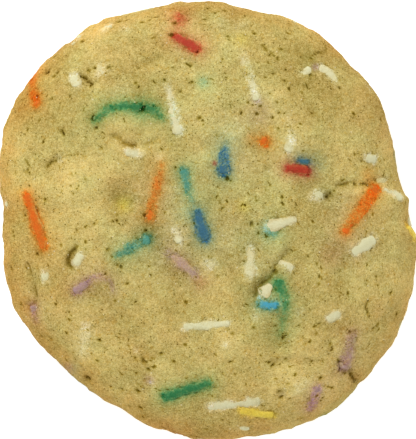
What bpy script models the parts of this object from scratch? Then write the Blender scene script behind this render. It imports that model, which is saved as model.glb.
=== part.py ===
"""A birthday cake cookie: one soft, round sugar cookie with coloured sprinkles baked into it.

The cookie lies flat on z = 0, with the origin in the middle of its underside. Seen from above,
+X points right and +Y away. Sizes here are millimetres and angles are degrees, counted from +X
towards +Y, until the mesh is made, which is in metres.
"""

import math
import random

import bmesh
import bpy
import numpy
from mathutils import Vector, noise
from mathutils.bvhtree import BVHTree

MM = 0.001

# The outline, seen from above: an oval that swelled and shrank unevenly in the oven.
MEAN_RADIUS = 32.0
OVAL_RISE = 1.6
OVAL_DIRECTION = 118.0
OUTLINE_SWELLS = (  # direction, half width, height
    (1.0, 3.0, -0.5),
    (14.0, 14.0, -1.4),
    (36.0, 10.0, 1.2),
    (60.0, 13.0, 0.9),
    (78.0, 8.0, -0.7),
    (104.0, 10.0, -0.7),
    (119.0, 5.0, -0.3),
    (132.0, 8.0, 0.3),
    (147.0, 16.0, 1.1),
    (177.0, 8.0, -0.6),
    (206.0, 18.0, 1.6),
    (284.0, 12.0, -0.4),
    (300.0, 14.0, 0.4),
    (330.0, 14.0, 0.4),
    (355.0, 4.0, 0.4),
)

# The profile: a low dome, a rounded edge, a small round foot and a flat underside.
HEIGHT = 10.0
WIDEST_LEVEL = 3.0
DOME_POWER = 4.6
EDGE_POWER = 2.1
FLAT_SHARE = 0.93
UNDERSIDE_DETAIL = 0.3

# The baked surface: broad humps, small lumps, and the creases, ridges and hollows that show most.
HUMP_SIZE = 11.0
HUMP_RISE = 0.55
LUMP_SIZE = 4.0
LUMP_RISE = 0.28
CREASES = (  # half width, depth (below 0 for a ridge), points along it
    (0.5, 0.4, ((7.2, -11.4), (7.2, -10.1), (8.2, -9.5), (9.5, -8.6), (9.9, -7.3), (10.8, -6.2), (12.1, -4.8))),
    (1.3, -0.4, ((6.1, -9.4), (8.0, -7.4), (8.9, -5.6), (10.8, -3.8))),
    (0.6, 0.4, ((-14.0, 12.3), (-12.6, 11.4), (-10.8, 10.9))),
    (0.5, 0.3, ((-9.4, 11.0), (-7.9, 11.8))),
    (0.5, 0.3, ((19.4, 4.9), (21.4, 5.4), (23.2, 5.1), (25.1, 5.8), (26.9, 5.9))),
    (0.9, -0.3, ((20.2, 3.9), (24.2, 3.9))),
    (0.5, 0.6, ((-20.0, -4.7), (-20.8, -5.8), (-20.8, -6.8))),
    (0.4, 0.4, ((-19.1, 21.4), (-17.3, 20.1))),
    (0.5, 0.4, ((-24.4, 7.8), (-22.4, 8.9))),
    (0.5, 0.4, ((-27.2, -7.0), (-26.4, -9.4), (-25.7, -12.2))),
    (0.4, 0.5, ((19.6, -21.6), (20.4, -23.2))),
    (0.4, 0.5, ((21.4, -22.9), (22.4, -24.6))),
    (0.6, 0.4, ((-10.4, 22.9), (-7.4, 24.0))),
    (0.7, 0.4, ((10.0, -21.6), (13.0, -20.9), (15.6, -21.6))),
    (0.6, 0.3, ((-22.0, 27.8), (-18.6, 24.9))),
)
HOLLOWS = (  # x, y, half width, depth (below 0 for a hump)
    (-18.1, -24.0, 0.6, 0.5),
    (17.9, 3.4, 0.7, 0.9),
    (-24.3, 22.2, 0.5, 0.5),
    (11.0, -26.2, 0.7, 0.6),
    (-13.6, 3.4, 1.7, 0.7),
    (-9.0, -2.4, 2.2, 0.6),
    (-4.2, -7.0, 2.0, 0.5),
    (18.8, 0.8, 2.4, 0.4),
    (25.0, 7.6, 1.8, 0.3),
    (20.4, -5.8, 2.4, 0.4),
    (-17.8, -11.6, 2.0, 0.4),
    (10.4, -18.6, 2.2, 0.4),
    (19.6, -16.6, 2.0, 0.3),
    (-20.2, 5.2, 3.4, -0.6),
    (-16.8, 0.6, 2.6, -0.4),
    (-22.8, -4.4, 2.6, -0.5),
    (3.4, -18.2, 2.2, -0.4),
    (13.4, -24.6, 1.8, -0.6),
    (12.6, 9.8, 2.6, -0.4),
    (5.0, 3.0, 2.4, -0.3),
    (-15.8, 27.6, 2.4, -0.3),
)
NARROW = 1.0
CREASE_EDGE = 0.9

# Sprinkles that lie in the top: x and y of the middle, direction, length, thickness, and how far
# one stands proud of the crumb.
STRAIGHT_SPRINKLES = {
    "orange": (
        (-25.9, -0.2, 108, 9.4, 1.6, 0.40),
        (-7.8, 4.0, 77, 9.1, 1.5, 0.30),
        (22.7, 1.0, 56, 9.3, 1.8, 0.40),
        (-25.8, 19.4, 88, 5.6, 1.4, 0.25),
        (8.2, 11.6, 174, 1.9, 1.5, 0.30),
    ),
    "red": (
        (-3.0, 26.2, 149, 5.0, 1.7, 0.35),
        (-4.3, 30.2, 165, 2.3, 1.6, 0.15),
        (13.3, 7.4, 171, 4.0, 1.4, 0.40),
    ),
    "green": (
        (-2.8, -25.4, 16, 8.0, 1.6, 0.35),
    ),
    "blue": (
        (2.4, 8.8, 87, 5.4, 1.6, 0.30),
        (-1.0, -1.1, 107, 5.2, 1.7, 0.45),
        (14.1, 8.5, 166, 2.6, 1.0, 0.30),
    ),
    "sky_blue": (
        (9.0, -12.8, 175, 3.4, 1.5, 0.45),
    ),
    "teal": (
        (-3.1, 5.0, 104, 6.3, 1.4, 0.20),
        (-11.6, -4.3, 28, 6.6, 1.5, 0.25),
        (11.2, -0.7, 17, 4.7, 1.5, 0.30),
    ),
    "lavender": (
        (-19.0, -10.2, 35, 3.2, 1.5, 0.40),
        (-4.0, -6.6, 141, 6.2, 1.5, 0.25),
        (-25.9, -14.2, 102, 2.9, 1.3, 0.25),
        (21.0, -19.6, 77, 6.6, 1.5, 0.20),
        (15.8, -26.8, 71, 4.1, 1.4, 0.25),
    ),
    "yellow": (
        (7.3, -29.0, 172, 5.6, 1.3, 0.40),
        (30.4, -1.8, 98, 2.7, 1.3, 0.50),
        (-18.4, -17.9, 87, 5.0, 1.3, 0.15),
        (13.5, -25.3, 57, 4.5, 1.6, 0.10),
    ),
    "white": (
        (-5.3, 16.7, 103, 8.8, 1.5, 0.35),
        (6.5, 20.9, 103, 7.2, 1.5, 0.25),
        (-0.2, -15.8, 5, 7.4, 1.2, 0.35),
        (3.9, -27.6, 6, 8.4, 1.4, 0.40),
        (6.1, -6.2, 85, 5.0, 1.4, 0.20),
        (23.2, -4.0, 33, 4.5, 1.3, 0.35),
        (27.6, 3.9, 153, 3.6, 1.4, 0.30),
        (-11.0, 9.8, 168, 3.0, 1.4, 0.30),
        (12.2, 11.1, 81, 2.8, 1.3, 0.20),
        (11.6, -6.9, 155, 2.8, 1.3, 0.30),
        (-4.6, -2.5, 114, 2.7, 1.3, 0.25),
        (18.7, -14.5, 28, 2.6, 1.4, 0.30),
        (14.6, 22.1, 28, 2.3, 1.4, 0.30),
        (-15.9, 22.0, 58, 2.6, 1.7, 0.30),
        (-15.1, 28.7, 32, 2.2, 1.3, 0.30),
        (-19.8, 26.8, 43, 2.4, 1.3, 0.25),
        (-19.8, 20.6, 115, 2.1, 1.5, 0.35),
        (-19.3, -6.0, 60, 2.3, 1.3, 0.30),
        (-24.4, -8.5, 96, 1.9, 1.3, 0.30),
        (24.3, 9.0, 162, 2.1, 1.7, 0.35),
        (8.8, -10.6, 51, 2.2, 1.4, 0.30),
        (16.4, 3.6, 9, 1.9, 1.2, 0.30),
        (26.2, 5.8, 6, 1.6, 1.2, 0.25),
        (24.2, 19.9, 148, 2.0, 1.2, 0.15),
        (5.4, -31.5, 175, 2.0, 1.2, 0.25),
        (0.4, -6.7, 174, 1.6, 1.3, 0.20),
    ),
}

# Sprinkles that bent as they sank: thickness, how far they stand proud, and points along them.
BENT_SPRINKLES = {
    "green": (
        (1.5, 0.35, ((-17.1, 14.9), (-14.8, 16.6), (-12.3, 16.8), (-9.5, 16.5), (-6.8, 15.4))),
        (1.4, 0.30, ((10.3, -9.3), (11.5, -11.8), (11.5, -14.3), (10.4, -18.2))),
    ),
    "lavender": (
        (1.2, 0.15, ((-17.6, -9.0), (-16.2, -8.6), (-14.6, -9.2), (-14.2, -10.7))),
    ),
    "white": (
        (1.3, 0.35, ((17.0, 22.7), (18.4, 22.2), (19.3, 20.2))),
    ),
}

# Sprinkles in the side, where no particular one is seen: evenly round it, each a little off.
SIDE_COLOURS = ("white", "orange", "white", "teal", "white", "red", "yellow", "white",
                "green", "white", "lavender", "white", "blue", "white")
SIDE_LOWEST = 1.4
SIDE_HIGHEST = 3.0
SIDE_LENGTHS = (2.2, 5.0)
SIDE_SLANT = 22.0
SIDE_PROUD = 0.3
SIDE_SEED = 27

SPRINKLE_SIDES = 8
SPRINKLE_THICKNESS = 1.45
TIP_SHARE = 0.45

COLOURS = {  # base colour and roughness of what shows
    "crumb": ((0.47, 0.37, 0.11), 0.80),
    "orange": ((0.70, 0.13, 0.01), 0.55),
    "red": ((0.40, 0.04, 0.03), 0.55),
    "green": ((0.03, 0.17, 0.06), 0.55),
    "blue": ((0.03, 0.11, 0.18), 0.55),
    "sky_blue": ((0.05, 0.27, 0.34), 0.55),
    "teal": ((0.06, 0.22, 0.18), 0.55),
    "lavender": ((0.35, 0.21, 0.21), 0.55),
    "yellow": ((0.68, 0.51, 0.07), 0.55),
    "white": ((0.66, 0.64, 0.42), 0.55),
}


def outline_radius(directions):
    """The distance from the middle to the edge in each direction, given in radians."""
    degrees = numpy.degrees(directions)
    radius = MEAN_RADIUS + OVAL_RISE * numpy.cos(2.0 * numpy.radians(degrees - OVAL_DIRECTION))
    for middle, half_width, height in OUTLINE_SWELLS:
        away = (degrees - middle + 180.0) % 360.0 - 180.0
        radius = radius + height * numpy.exp(-(away / half_width) ** 2)
    return radius


def profile():
    """Points down the profile, as shares of the outline's radius and levels, and the share of
    the surface, from 0 at the top's middle to 1 at the underside's, that lies before each."""
    quarter = numpy.linspace(0.0, math.pi / 2.0, 240)
    flat = numpy.linspace(FLAT_SHARE, 0.0, 60)[1:]
    dome_share = numpy.sin(quarter) ** (2.0 / DOME_POWER)
    dome_level = WIDEST_LEVEL + (HEIGHT - WIDEST_LEVEL) * numpy.cos(quarter) ** (2.0 / EDGE_POWER)
    foot_share = FLAT_SHARE + (1.0 - FLAT_SHARE) * numpy.cos(quarter[1:])
    foot_level = WIDEST_LEVEL * (1.0 - numpy.sin(quarter[1:]))
    shares = numpy.concatenate((dome_share, foot_share, flat))
    levels = numpy.concatenate((dome_level, foot_level, 0.0 * flat))
    length = numpy.hypot(numpy.diff(shares) * MEAN_RADIUS, numpy.diff(levels))
    area = length * (shares[1:] + shares[:-1])
    area[-len(flat):] *= UNDERSIDE_DETAIL
    before = numpy.concatenate(([0.0], numpy.cumsum(area)))
    return shares, levels, before / before[-1]


def distance_to_line(x, y, points):
    """The distance of each x and y to a line of straight runs through the points."""
    nearest = numpy.full(x.shape, numpy.inf)
    for (x0, y0), (x1, y1) in zip(points, points[1:]):
        run_x, run_y = x1 - x0, y1 - y0
        along = ((x - x0) * run_x + (y - y0) * run_y) / (run_x ** 2 + run_y ** 2)
        along = numpy.clip(along, 0.0, 1.0)
        nearest = numpy.minimum(nearest, numpy.hypot(x - x0 - along * run_x, y - y0 - along * run_y))
    return nearest


def relief(places):
    """How far the baked surface stands out at each place: humps and lumps, less the creases."""
    rise = numpy.empty(len(places))
    for index, place in enumerate(places):
        humps = noise.noise(Vector(place) / HUMP_SIZE)
        lumps = noise.noise(Vector(place) / LUMP_SIZE + Vector((7.0, 3.0, 5.0)))
        rise[index] = HUMP_RISE * humps + LUMP_RISE * lumps
    x, y = places[:, 0], places[:, 1]
    for half_width, depth, points in CREASES:
        rise -= depth * numpy.exp(-(distance_to_line(x, y, points) / half_width) ** 2)
    for hollow_x, hollow_y, half_width, depth in HOLLOWS:
        rise -= depth * numpy.exp(-(numpy.hypot(x - hollow_x, y - hollow_y) / half_width) ** 2)
    return rise


def near_crease(places):
    """True for the places that lie in or beside a narrow crease or hollow of the top."""
    x, y, level = places.T
    near = numpy.zeros(len(places), dtype=bool)
    for half_width, _, points in CREASES:
        if half_width < NARROW:
            near |= distance_to_line(x, y, points) < 1.6 * half_width
    for hollow_x, hollow_y, half_width, _ in HOLLOWS:
        if half_width < NARROW:
            near |= numpy.hypot(x - hollow_x, y - hollow_y) < 1.6 * half_width
    return near & (level > WIDEST_LEVEL)


def vertex_places(bm):
    """The bmesh's vertices as an array, one row each."""
    return numpy.array([vertex.co[:] for vertex in bm.verts])


def crumb_bmesh():
    """The cookie without its sprinkles, in millimetres: a ball laid over the profile."""
    bm = bmesh.new()
    bmesh.ops.create_icosphere(bm, subdivisions=5, radius=1.0)
    ball = vertex_places(bm)
    shares, levels, before = profile()
    surface_share = (1.0 - ball[:, 2]) / 2.0
    share = numpy.interp(surface_share, before, shares)
    level = numpy.interp(surface_share, before, levels)
    direction = numpy.arctan2(ball[:, 1], ball[:, 0])
    radius = share * outline_radius(direction)
    for vertex, r, turn, z in zip(bm.verts, radius, direction, level):
        vertex.co = (r * math.cos(turn), r * math.sin(turn), z)

    for _ in range(2):
        near = near_crease(vertex_places(bm))
        close = [edge for edge in bm.edges
                 if (near[edge.verts[0].index] or near[edge.verts[1].index])
                 and edge.calc_length() > CREASE_EDGE]
        bmesh.ops.subdivide_edges(bm, edges=close, cuts=1)
        bmesh.ops.triangulate(bm, faces=bm.faces)
        bm.verts.index_update()

    bm.normal_update()
    for vertex, rise in zip(bm.verts, relief(vertex_places(bm))):
        if vertex.co.z > 0.0:
            lift = min(1.0, vertex.co.z / WIDEST_LEVEL)
            vertex.co += vertex.normal * rise * lift
    bm.normal_update()
    return bm


def on_top(bed, x, y):
    """The crumb's surface under x and y, or the nearest edge of it, and its outward normal."""
    place, normal, _, _ = bed.ray_cast(Vector((x, y, 2.0 * HEIGHT)), Vector((0.0, 0.0, -1.0)))
    if place is None:
        place, normal, _, _ = bed.find_nearest(Vector((x, y, HEIGHT / 2.0)))
    return place, normal


def on_side(bed, turn, level):
    """The crumb's side in the direction turn, in radians, at a level, and its outward normal."""
    outwards = Vector((math.cos(turn), math.sin(turn), 0.0))
    start = outwards * 2.0 * MEAN_RADIUS + Vector((0.0, 0.0, level))
    place, normal, _, _ = bed.ray_cast(start, -outwards)
    return place, normal


def sprinkle_mesh(name, stations, thickness):
    """A rod of eight sides along its stations, closed by a blunt point at each end: a ball of
    eight meridians whose rings are drawn out along the line."""
    bm = bmesh.new()
    rows = len(stations) + 1
    bmesh.ops.create_uvsphere(bm, u_segments=SPRINKLE_SIDES, v_segments=rows, radius=1.0)
    for vertex in bm.verts:
        slope = math.acos(max(-1.0, min(1.0, vertex.co.z)))
        row = round(slope / math.pi * rows)
        ring = min(max(row, 1), rows - 1) - 1
        before = stations[max(ring - 1, 0)]
        after = stations[min(ring + 1, len(stations) - 1)]
        along = (after - before).normalized()
        side = along.cross(Vector((0.0, 0.0, 1.0))).normalized()
        up = side.cross(along)
        if row in (0, rows):
            outwards = -along if row == 0 else along
            vertex.co = stations[ring] + outwards * (thickness / 2.0 * TIP_SHARE)
        else:
            turn = math.atan2(vertex.co.y, vertex.co.x)
            vertex.co = stations[ring] + thickness / 2.0 * (side * math.cos(turn) + up * math.sin(turn))
    bmesh.ops.recalc_face_normals(bm, faces=bm.faces)
    bmesh.ops.scale(bm, vec=(MM, MM, MM), verts=bm.verts)
    mesh = bpy.data.meshes.new(name)
    bm.to_mesh(mesh)
    bm.free()
    return mesh


def sunk(place, normal, thickness, proud):
    """The middle of a sprinkle that stands so far proud of the surface at a place."""
    return place + normal * (proud - thickness / 2.0)


def straight_stations(bed, x, y, direction, length, thickness, proud):
    """The two ring places of a straight sprinkle in the top."""
    half = length / 2.0 - thickness / 2.0 * TIP_SHARE
    reach = Vector((math.cos(math.radians(direction)), math.sin(math.radians(direction)))) * half
    ends = ((x - reach.x, y - reach.y), (x + reach.x, y + reach.y))
    return [sunk(*on_top(bed, *end), thickness, proud) for end in ends]


def side_stations(bed, draw, number):
    """The two ring places of one of the sprinkles in the side."""
    turn = math.radians((number + draw.uniform(-0.35, 0.35)) * 360.0 / len(SIDE_COLOURS))
    level = draw.uniform(SIDE_LOWEST, SIDE_HIGHEST)
    half = draw.uniform(*SIDE_LENGTHS) / 2.0
    slant = math.radians(draw.uniform(-SIDE_SLANT, SIDE_SLANT))
    swing = half * math.cos(slant) / MEAN_RADIUS
    climb = half * math.sin(slant)
    ends = ((turn - swing, level - climb), (turn + swing, level + climb))
    return [sunk(*on_side(bed, *end), SPRINKLE_THICKNESS, SIDE_PROUD) for end in ends]


def all_sprinkles(bed):
    """The colour, stations and thickness of every sprinkle."""
    for colour, rows in STRAIGHT_SPRINKLES.items():
        for x, y, direction, length, thickness, proud in rows:
            yield colour, straight_stations(bed, x, y, direction, length, thickness, proud), thickness
    for colour, rows in BENT_SPRINKLES.items():
        for thickness, proud, points in rows:
            stations = [sunk(*on_top(bed, x, y), thickness, proud) for x, y in points]
            yield colour, stations, thickness
    draw = random.Random(SIDE_SEED)
    for number, colour in enumerate(SIDE_COLOURS):
        yield colour, side_stations(bed, draw, number), SPRINKLE_THICKNESS


def finish_material(name):
    """A plain material in the colour of the crumb or of one kind of sprinkle."""
    colour, roughness = COLOURS[name]
    material = bpy.data.materials.new(name)
    material.use_nodes = True
    shader = material.node_tree.nodes["Principled BSDF"]
    shader.inputs["Base Color"].default_value = (*colour, 1.0)
    shader.inputs["Roughness"].default_value = roughness
    shader.inputs["Metallic"].default_value = 0.0
    return material


def make_cookie():
    """The cookie, with its sprinkles joined into the crumb as one solid."""
    materials = {name: finish_material(name) for name in COLOURS}
    bm = crumb_bmesh()
    bed = BVHTree.FromBMesh(bm)
    bmesh.ops.scale(bm, vec=(MM, MM, MM), verts=bm.verts)
    mesh = bpy.data.meshes.new("cookie")
    bm.to_mesh(mesh)
    bm.free()
    mesh.materials.append(materials["crumb"])
    cookie = bpy.data.objects.new("cookie", mesh)
    bpy.context.scene.collection.objects.link(cookie)

    toppings = bpy.data.collections.new("sprinkles")
    bpy.context.scene.collection.children.link(toppings)
    for number, (colour, stations, thickness) in enumerate(all_sprinkles(bed)):
        rod = sprinkle_mesh(f"sprinkle_{number}", stations, thickness)
        rod.materials.append(materials[colour])
        toppings.objects.link(bpy.data.objects.new(rod.name, rod))

    union = cookie.modifiers.new("sprinkles", "BOOLEAN")
    union.operation = "UNION"
    union.operand_type = "COLLECTION"
    union.collection = toppings
    union.solver = "EXACT"
    union.material_mode = "TRANSFER"
    bpy.context.view_layer.objects.active = cookie
    bpy.ops.object.modifier_apply(modifier=union.name)
    for sprinkle in list(toppings.objects):
        bpy.data.objects.remove(sprinkle)
    bpy.data.collections.remove(toppings)

    cookie.data.shade_smooth()
    cookie.data.set_sharp_from_angle(angle=math.radians(40.0))
    return cookie


for old in list(bpy.data.objects):
    bpy.data.objects.remove(old)
make_cookie()
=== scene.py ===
"""The looks of a birthday cake cookie: a soft, round sugar cookie with coloured sprinkles baked in.

The crumb, the sprinkles and a little scattered sugar take the solid cookie's place, and a pale
stage with soft light is set round it. Seen from above, +X points right and +Y away. Lengths
inside the script are millimetres and directions are degrees from +X towards +Y; what a user sets
in the panel is in metres and radians, as the editor shows it.
"""

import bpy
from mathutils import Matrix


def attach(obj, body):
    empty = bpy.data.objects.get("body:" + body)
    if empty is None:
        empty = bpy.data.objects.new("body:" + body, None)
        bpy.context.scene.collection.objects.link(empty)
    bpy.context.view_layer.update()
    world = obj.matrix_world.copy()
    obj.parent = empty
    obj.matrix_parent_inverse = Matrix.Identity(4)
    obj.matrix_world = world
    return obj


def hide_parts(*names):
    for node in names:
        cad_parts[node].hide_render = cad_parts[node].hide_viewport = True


bl_info = {
    "name": "Birthday Cake Cookie",
    "version": (1, 0, 0),
    "blender": (4, 5, 0),
    "location": "View3D > Sidebar > Cookie",
    "description": "Bakes a sugar cookie with sprinkles and sets it on a pale stage",
    "category": "Object",
}

import math
import random

import bmesh
import bpy
import numpy
from bpy.props import FloatProperty, FloatVectorProperty, IntProperty, PointerProperty
from mathutils import Vector, noise
from mathutils.bvhtree import BVHTree
from mathutils.kdtree import KDTree

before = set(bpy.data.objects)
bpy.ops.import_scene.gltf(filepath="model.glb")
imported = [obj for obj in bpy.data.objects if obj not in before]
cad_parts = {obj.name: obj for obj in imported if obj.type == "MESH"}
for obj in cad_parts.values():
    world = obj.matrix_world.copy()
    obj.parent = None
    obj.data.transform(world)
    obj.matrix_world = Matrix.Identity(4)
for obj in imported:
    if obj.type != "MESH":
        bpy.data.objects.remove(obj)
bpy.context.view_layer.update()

MM = 0.001
NODE = "cookie"
BODY = "root"

# The outline's swells and dents: direction, half width, height.
OUTLINE_SWELLS = (
    (-0.8, 2.4, -0.5), (5.6, 2.2, 0.4), (10.5, 2.4, -0.25), (14, 14, -1.4), (36, 10, 1.2),
    (60, 13, 0.9), (78, 8, -0.7), (104, 10, -0.7), (119, 5, -0.3), (132, 8, 0.3), (147, 16, 1.1),
    (177, 8, -0.6), (206, 18, 1.6), (284, 12, -0.4), (300, 14, 0.4), (330, 14, 0.4), (355, 4, 0.4),
)

# The profile: how late the dome falls, how round its edge is, what share of the radius lies flat
# below, and in how many steps the dome, the foot and the underside are measured.
DOME_POWER = 4.6
EDGE_POWER = 2.1
FLAT_SHARE = 0.93
CURVE_STEPS = 240
UNDERSIDE_STEPS = 60
# Triangles on the underside for each one on a like area of the top, and how often the ball's
# triangles are cut in four, for the crumb and for the bed that sprinkles are laid on.
UNDERSIDE_DETAIL = 0.3
CRUMB_SUBDIVISIONS = 7
BED_SUBDIVISIONS = 6
# Finer triangles lie above this level near a crack, within so many of its half widths, and this
# near to a sprinkle's edge. A triangle no larger than the last has its corners in one line.
FINER_LEVEL = 2.0
FINER_CRACK = 1.5
FINER_EDGE = 0.2
SLIVER_AREA = 1e-5
# What lies under this level is underside. Its hollows: their middle height, the share of the
# relief that they take, and the highest.
UNDERSIDE_LEVEL = 0.02
UNDERSIDE_RISE = 0.05
UNDERSIDE_SHARE = 0.5
UNDERSIDE_MOST = 0.3

# Creases of the top, and ridges where the depth is below 0: half width, depth, points along it.
CREASES = (
    (0.5, 0.4, ((7.2, -11.4), (7.2, -10.1), (8.2, -9.5), (9.5, -8.6), (9.9, -7.3), (10.8, -6.2),
                (12.1, -4.8))),
    (1.3, -0.4, ((6.1, -9.4), (8, -7.4), (8.9, -5.6), (10.8, -3.8))),
    (0.6, 0.4, ((-14, 12.3), (-12.6, 11.4), (-10.8, 10.9))),
    (0.5, 0.3, ((-9.4, 11), (-7.9, 11.8))),
    (0.5, 0.3, ((19.4, 4.9), (21.4, 5.4), (23.2, 5.1), (25.1, 5.8), (26.9, 5.9))),
    (0.9, -0.3, ((20.2, 3.9), (24.2, 3.9))),
    (0.5, 0.6, ((-20, -4.7), (-20.8, -5.8), (-20.8, -6.8))),
    (0.4, 0.4, ((-19.1, 21.4), (-17.3, 20.1))),
    (0.5, 0.4, ((-24.4, 7.8), (-22.4, 8.9))),
    (0.5, 0.4, ((-27.2, -7), (-26.4, -9.4), (-25.7, -12.2))),
    (0.4, 0.5, ((19.6, -21.6), (20.4, -23.2))),
    (0.4, 0.5, ((21.4, -22.9), (22.4, -24.6))),
    (0.6, 0.4, ((-10.4, 22.9), (-7.4, 24))),
    (0.7, 0.4, ((10, -21.6), (13, -20.9), (15.6, -21.6))),
    (0.6, 0.3, ((-22, 27.8), (-18.6, 24.9))),
)
# Hollows of the top, and humps where the depth is below 0: x, y, half width, depth.
HOLLOWS = (
    (-18.1, -24, 0.6, 0.5), (17.9, 3.4, 0.7, 0.9), (-24.3, 22.2, 0.5, 0.5), (11, -26.2, 0.7, 0.6),
    (-13.6, 3.4, 1.7, 0.7), (-9, -2.4, 2.2, 0.6), (-4.2, -7, 2, 0.5), (18.8, 0.8, 2.4, 0.4),
    (25, 7.6, 1.8, 0.3), (20.4, -5.8, 2.4, 0.4), (-17.8, -11.6, 2, 0.4), (10.4, -18.6, 2.2, 0.4),
    (19.6, -16.6, 2, 0.3), (-20.2, 5.2, 3.4, -0.6), (-16.8, 0.6, 2.6, -0.4), (-22.8, -4.4, 2.6, -0.5),
    (3.4, -18.2, 2.2, -0.4), (13.4, -24.6, 1.8, -0.6), (12.6, 9.8, 2.6, -0.4), (5, 3, 2.4, -0.3),
    (-15.8, 27.6, 2.4, -0.3),
)
# Dark lines of painted shade in the crumb along hairline cracks and the floors of creases: half
# width, how dark, points along it.
SHADED_CRACKS = (
    (0.22, 0.32, ((7.2, -11.3), (7.3, -10.3), (8.1, -9.6))),
    (0.2, 0.32, ((8.3, -9.5), (9.2, -8.9), (9.8, -8), (10.1, -6.9))),
    (0.16, 0.15, ((10.1, -6.9), (11.2, -5.6))),
    (0.4, 0.16, ((-14.1, 12.4), (-13.2, 11.9))),
    (0.22, 0.35, ((-12.7, 11.4), (-11.8, 11), (-10.9, 10.9))),
    (0.26, 0.15, ((-9.3, 11.1), (-8.1, 11.6))),
    (0.24, 0.45, ((-19.5, -4.1), (-20.5, -5), (-20.9, -5.9), (-20.9, -6.7), (-20.4, -7.2))),
    (0.16, 0.4, ((19.3, 4.9), (20.4, 5.2), (21.4, 5.4))),
    (0.12, 0.4, ((22.6, 5.2), (24, 5.2))),
    (0.2, 0.4, ((25.2, 5.8), (26.8, 5.9))),
    (0.1, 0.75, ((-19.1, 21.4), (-18.2, 21), (-17.3, 20.1))),
    (0.1, 0.45, ((-24.3, 7.7), (-23.4, 8.5), (-22.6, 8.8))),
    (0.1, 0.45, ((-27.2, 8.8), (-26.6, 7.8), (-26.9, 7.2))),
    (0.09, 0.35, ((-27.2, -6.6), (-26.8, -8))),
    (0.09, 0.35, ((-26.2, -10), (-25.8, -11.6))),
    (0.13, 0.65, ((19.3, -21), (20, -21.7), (20.6, -22.6))),
    (0.12, 0.6, ((20, -21.7), (19.6, -22.8))),
    (0.13, 0.6, ((21.3, -23), (21.7, -23.8), (22.3, -24.5))),
    (0.11, 0.55, ((18.2, -18.5), (18.6, -19.4), (18.1, -20.2))),
    (0.11, 0.5, ((17.4, -24.9), (18.6, -25.2))),
    (0.12, 0.65, ((-15, 22.4), (-14.6, 22.9), (-14.2, 22.8))),
    (0.09, 0.5, ((8.2, 26.2), (8.8, 25.2))),
    (0.09, 0.5, ((9.3, 25), (9.9, 24.3))),
    (0.09, 0.4, ((-28.8, 6.8), (-27.6, 7.3), (-26.4, 6.8))),
    (0.08, 0.22, ((-22.3, 8.9), (-20.6, 9.7), (-18.6, 9.5))),
    (0.09, 0.42, ((15.3, 24.1), (16.3, 24.9), (17.5, 25.1))),
    (0.09, 0.4, ((17.5, 26.4), (17.7, 25.2))),
    (0.1, 0.5, ((23.9, -12.1), (23.5, -13.3), (24.2, -14.6))),
    (0.12, 0.75, ((-3.2, 23.2), (-2.6, 22.8))),
    (0.12, 0.85, ((-21.8, 13.3), (-21.5, 12.6))),
)
# Cracks fade out down the side between these levels. Then how far they stray, their least and
# added width for the half width given, how deep the darkest is, over what size they break off,
# between which of that noise's heights, and the size of the rags at cracks' and pores' edges.
CRACK_LEVELS = (3.0, 7.0)
CRACK_STRAY = 0.14
CRACK_WIDTHS = (1.1, 1.2)
CRACK_DEPTH = 0.4
CRACK_BREAK_SIZE = 0.7
CRACK_BREAKS = (-0.6, -0.2)
RAG_SIZE = 0.4
# Single pores that catch the eye: x, y, half width, how dark their painted shade is.
MARKED_PORES = (
    (2.9, 6.1, 0.3, 0.8), (3.4, 5.7, 0.15, 0.5), (-9.4, 0.5, 0.26, 0.7), (-9.2, -1.7, 0.16, 1),
    (-5.4, 27.5, 0.34, 0.7), (-1.6, 24.9, 0.22, 0.6), (-4.9, 29.2, 0.2, 0.8), (-9.65, 16.5, 0.42, 0.5),
    (-17.1, 15.1, 0.36, 0.7), (-16.6, 13.6, 0.24, 0.5), (6.4, -0.7, 0.3, 0.45), (-10.3, 19.7, 0.15, 1),
    (-6.5, 20.8, 0.16, 0.8), (-1.2, 15.1, 0.2, 0.7), (-0.8, 14.7, 0.16, 0.6), (-24.3, 22.2, 0.3, 0.6),
    (-22.6, 22, 0.14, 0.5), (-25.6, 18.4, 0.16, 0.7), (-24.6, 11.5, 0.15, 0.7), (-25.6, -5.2, 0.2, 0.7),
    (10, -7.8, 0.32, 0.5), (-18.1, -24, 0.36, 0.5), (17.8, 3.3, 0.2, 0.35), (18.3, 3.8, 0.22, 0.45),
    (18.8, 4.2, 0.14, 0.5), (21.9, 5.2, 0.24, 0.6), (23.2, 5.3, 0.16, 0.5), (6, 17.4, 0.1, 0.8),
    (6.7, 17, 0.1, 0.8), (5.4, -4.3, 0.11, 0.7), (5.4, -5, 0.09, 0.6), (5.35, -6.3, 0.11, 0.7),
    (5.4, -7.4, 0.09, 0.6), (-4.8, 7.7, 0.14, 0.9), (15.3, 21.6, 0.24, 0.5), (2.9, 27.2, 0.16, 0.5),
    (3.1, 26.6, 0.13, 0.5), (21.7, 15.6, 0.14, 0.9), (11.1, 3.3, 0.13, 0.9), (-15, -4.5, 0.22, 0.5),
    (-12.9, -7.1, 0.24, 0.5), (-13.5, -6.8, 0.18, 0.4), (-12, -9.7, 0.2, 0.5), (-8.5, -8.3, 0.12, 0.9),
    (-3.3, -12.3, 0.14, 0.9), (-16.1, -18, 0.16, 0.9), (-7, -20, 0.18, 0.8), (-9.6, -21.1, 0.3, 0.6),
    (-10.8, -20.7, 0.22, 0.5), (-14.5, -25, 0.18, 0.6), (-12.8, -25.3, 0.18, 0.6),
    (-5.1, -21.2, 0.16, 0.7), (16.8, -23.7, 0.22, 0.7), (11, -26.6, 0.2, 0.6), (10.6, -25.7, 0.22, 0.5),
)
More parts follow.
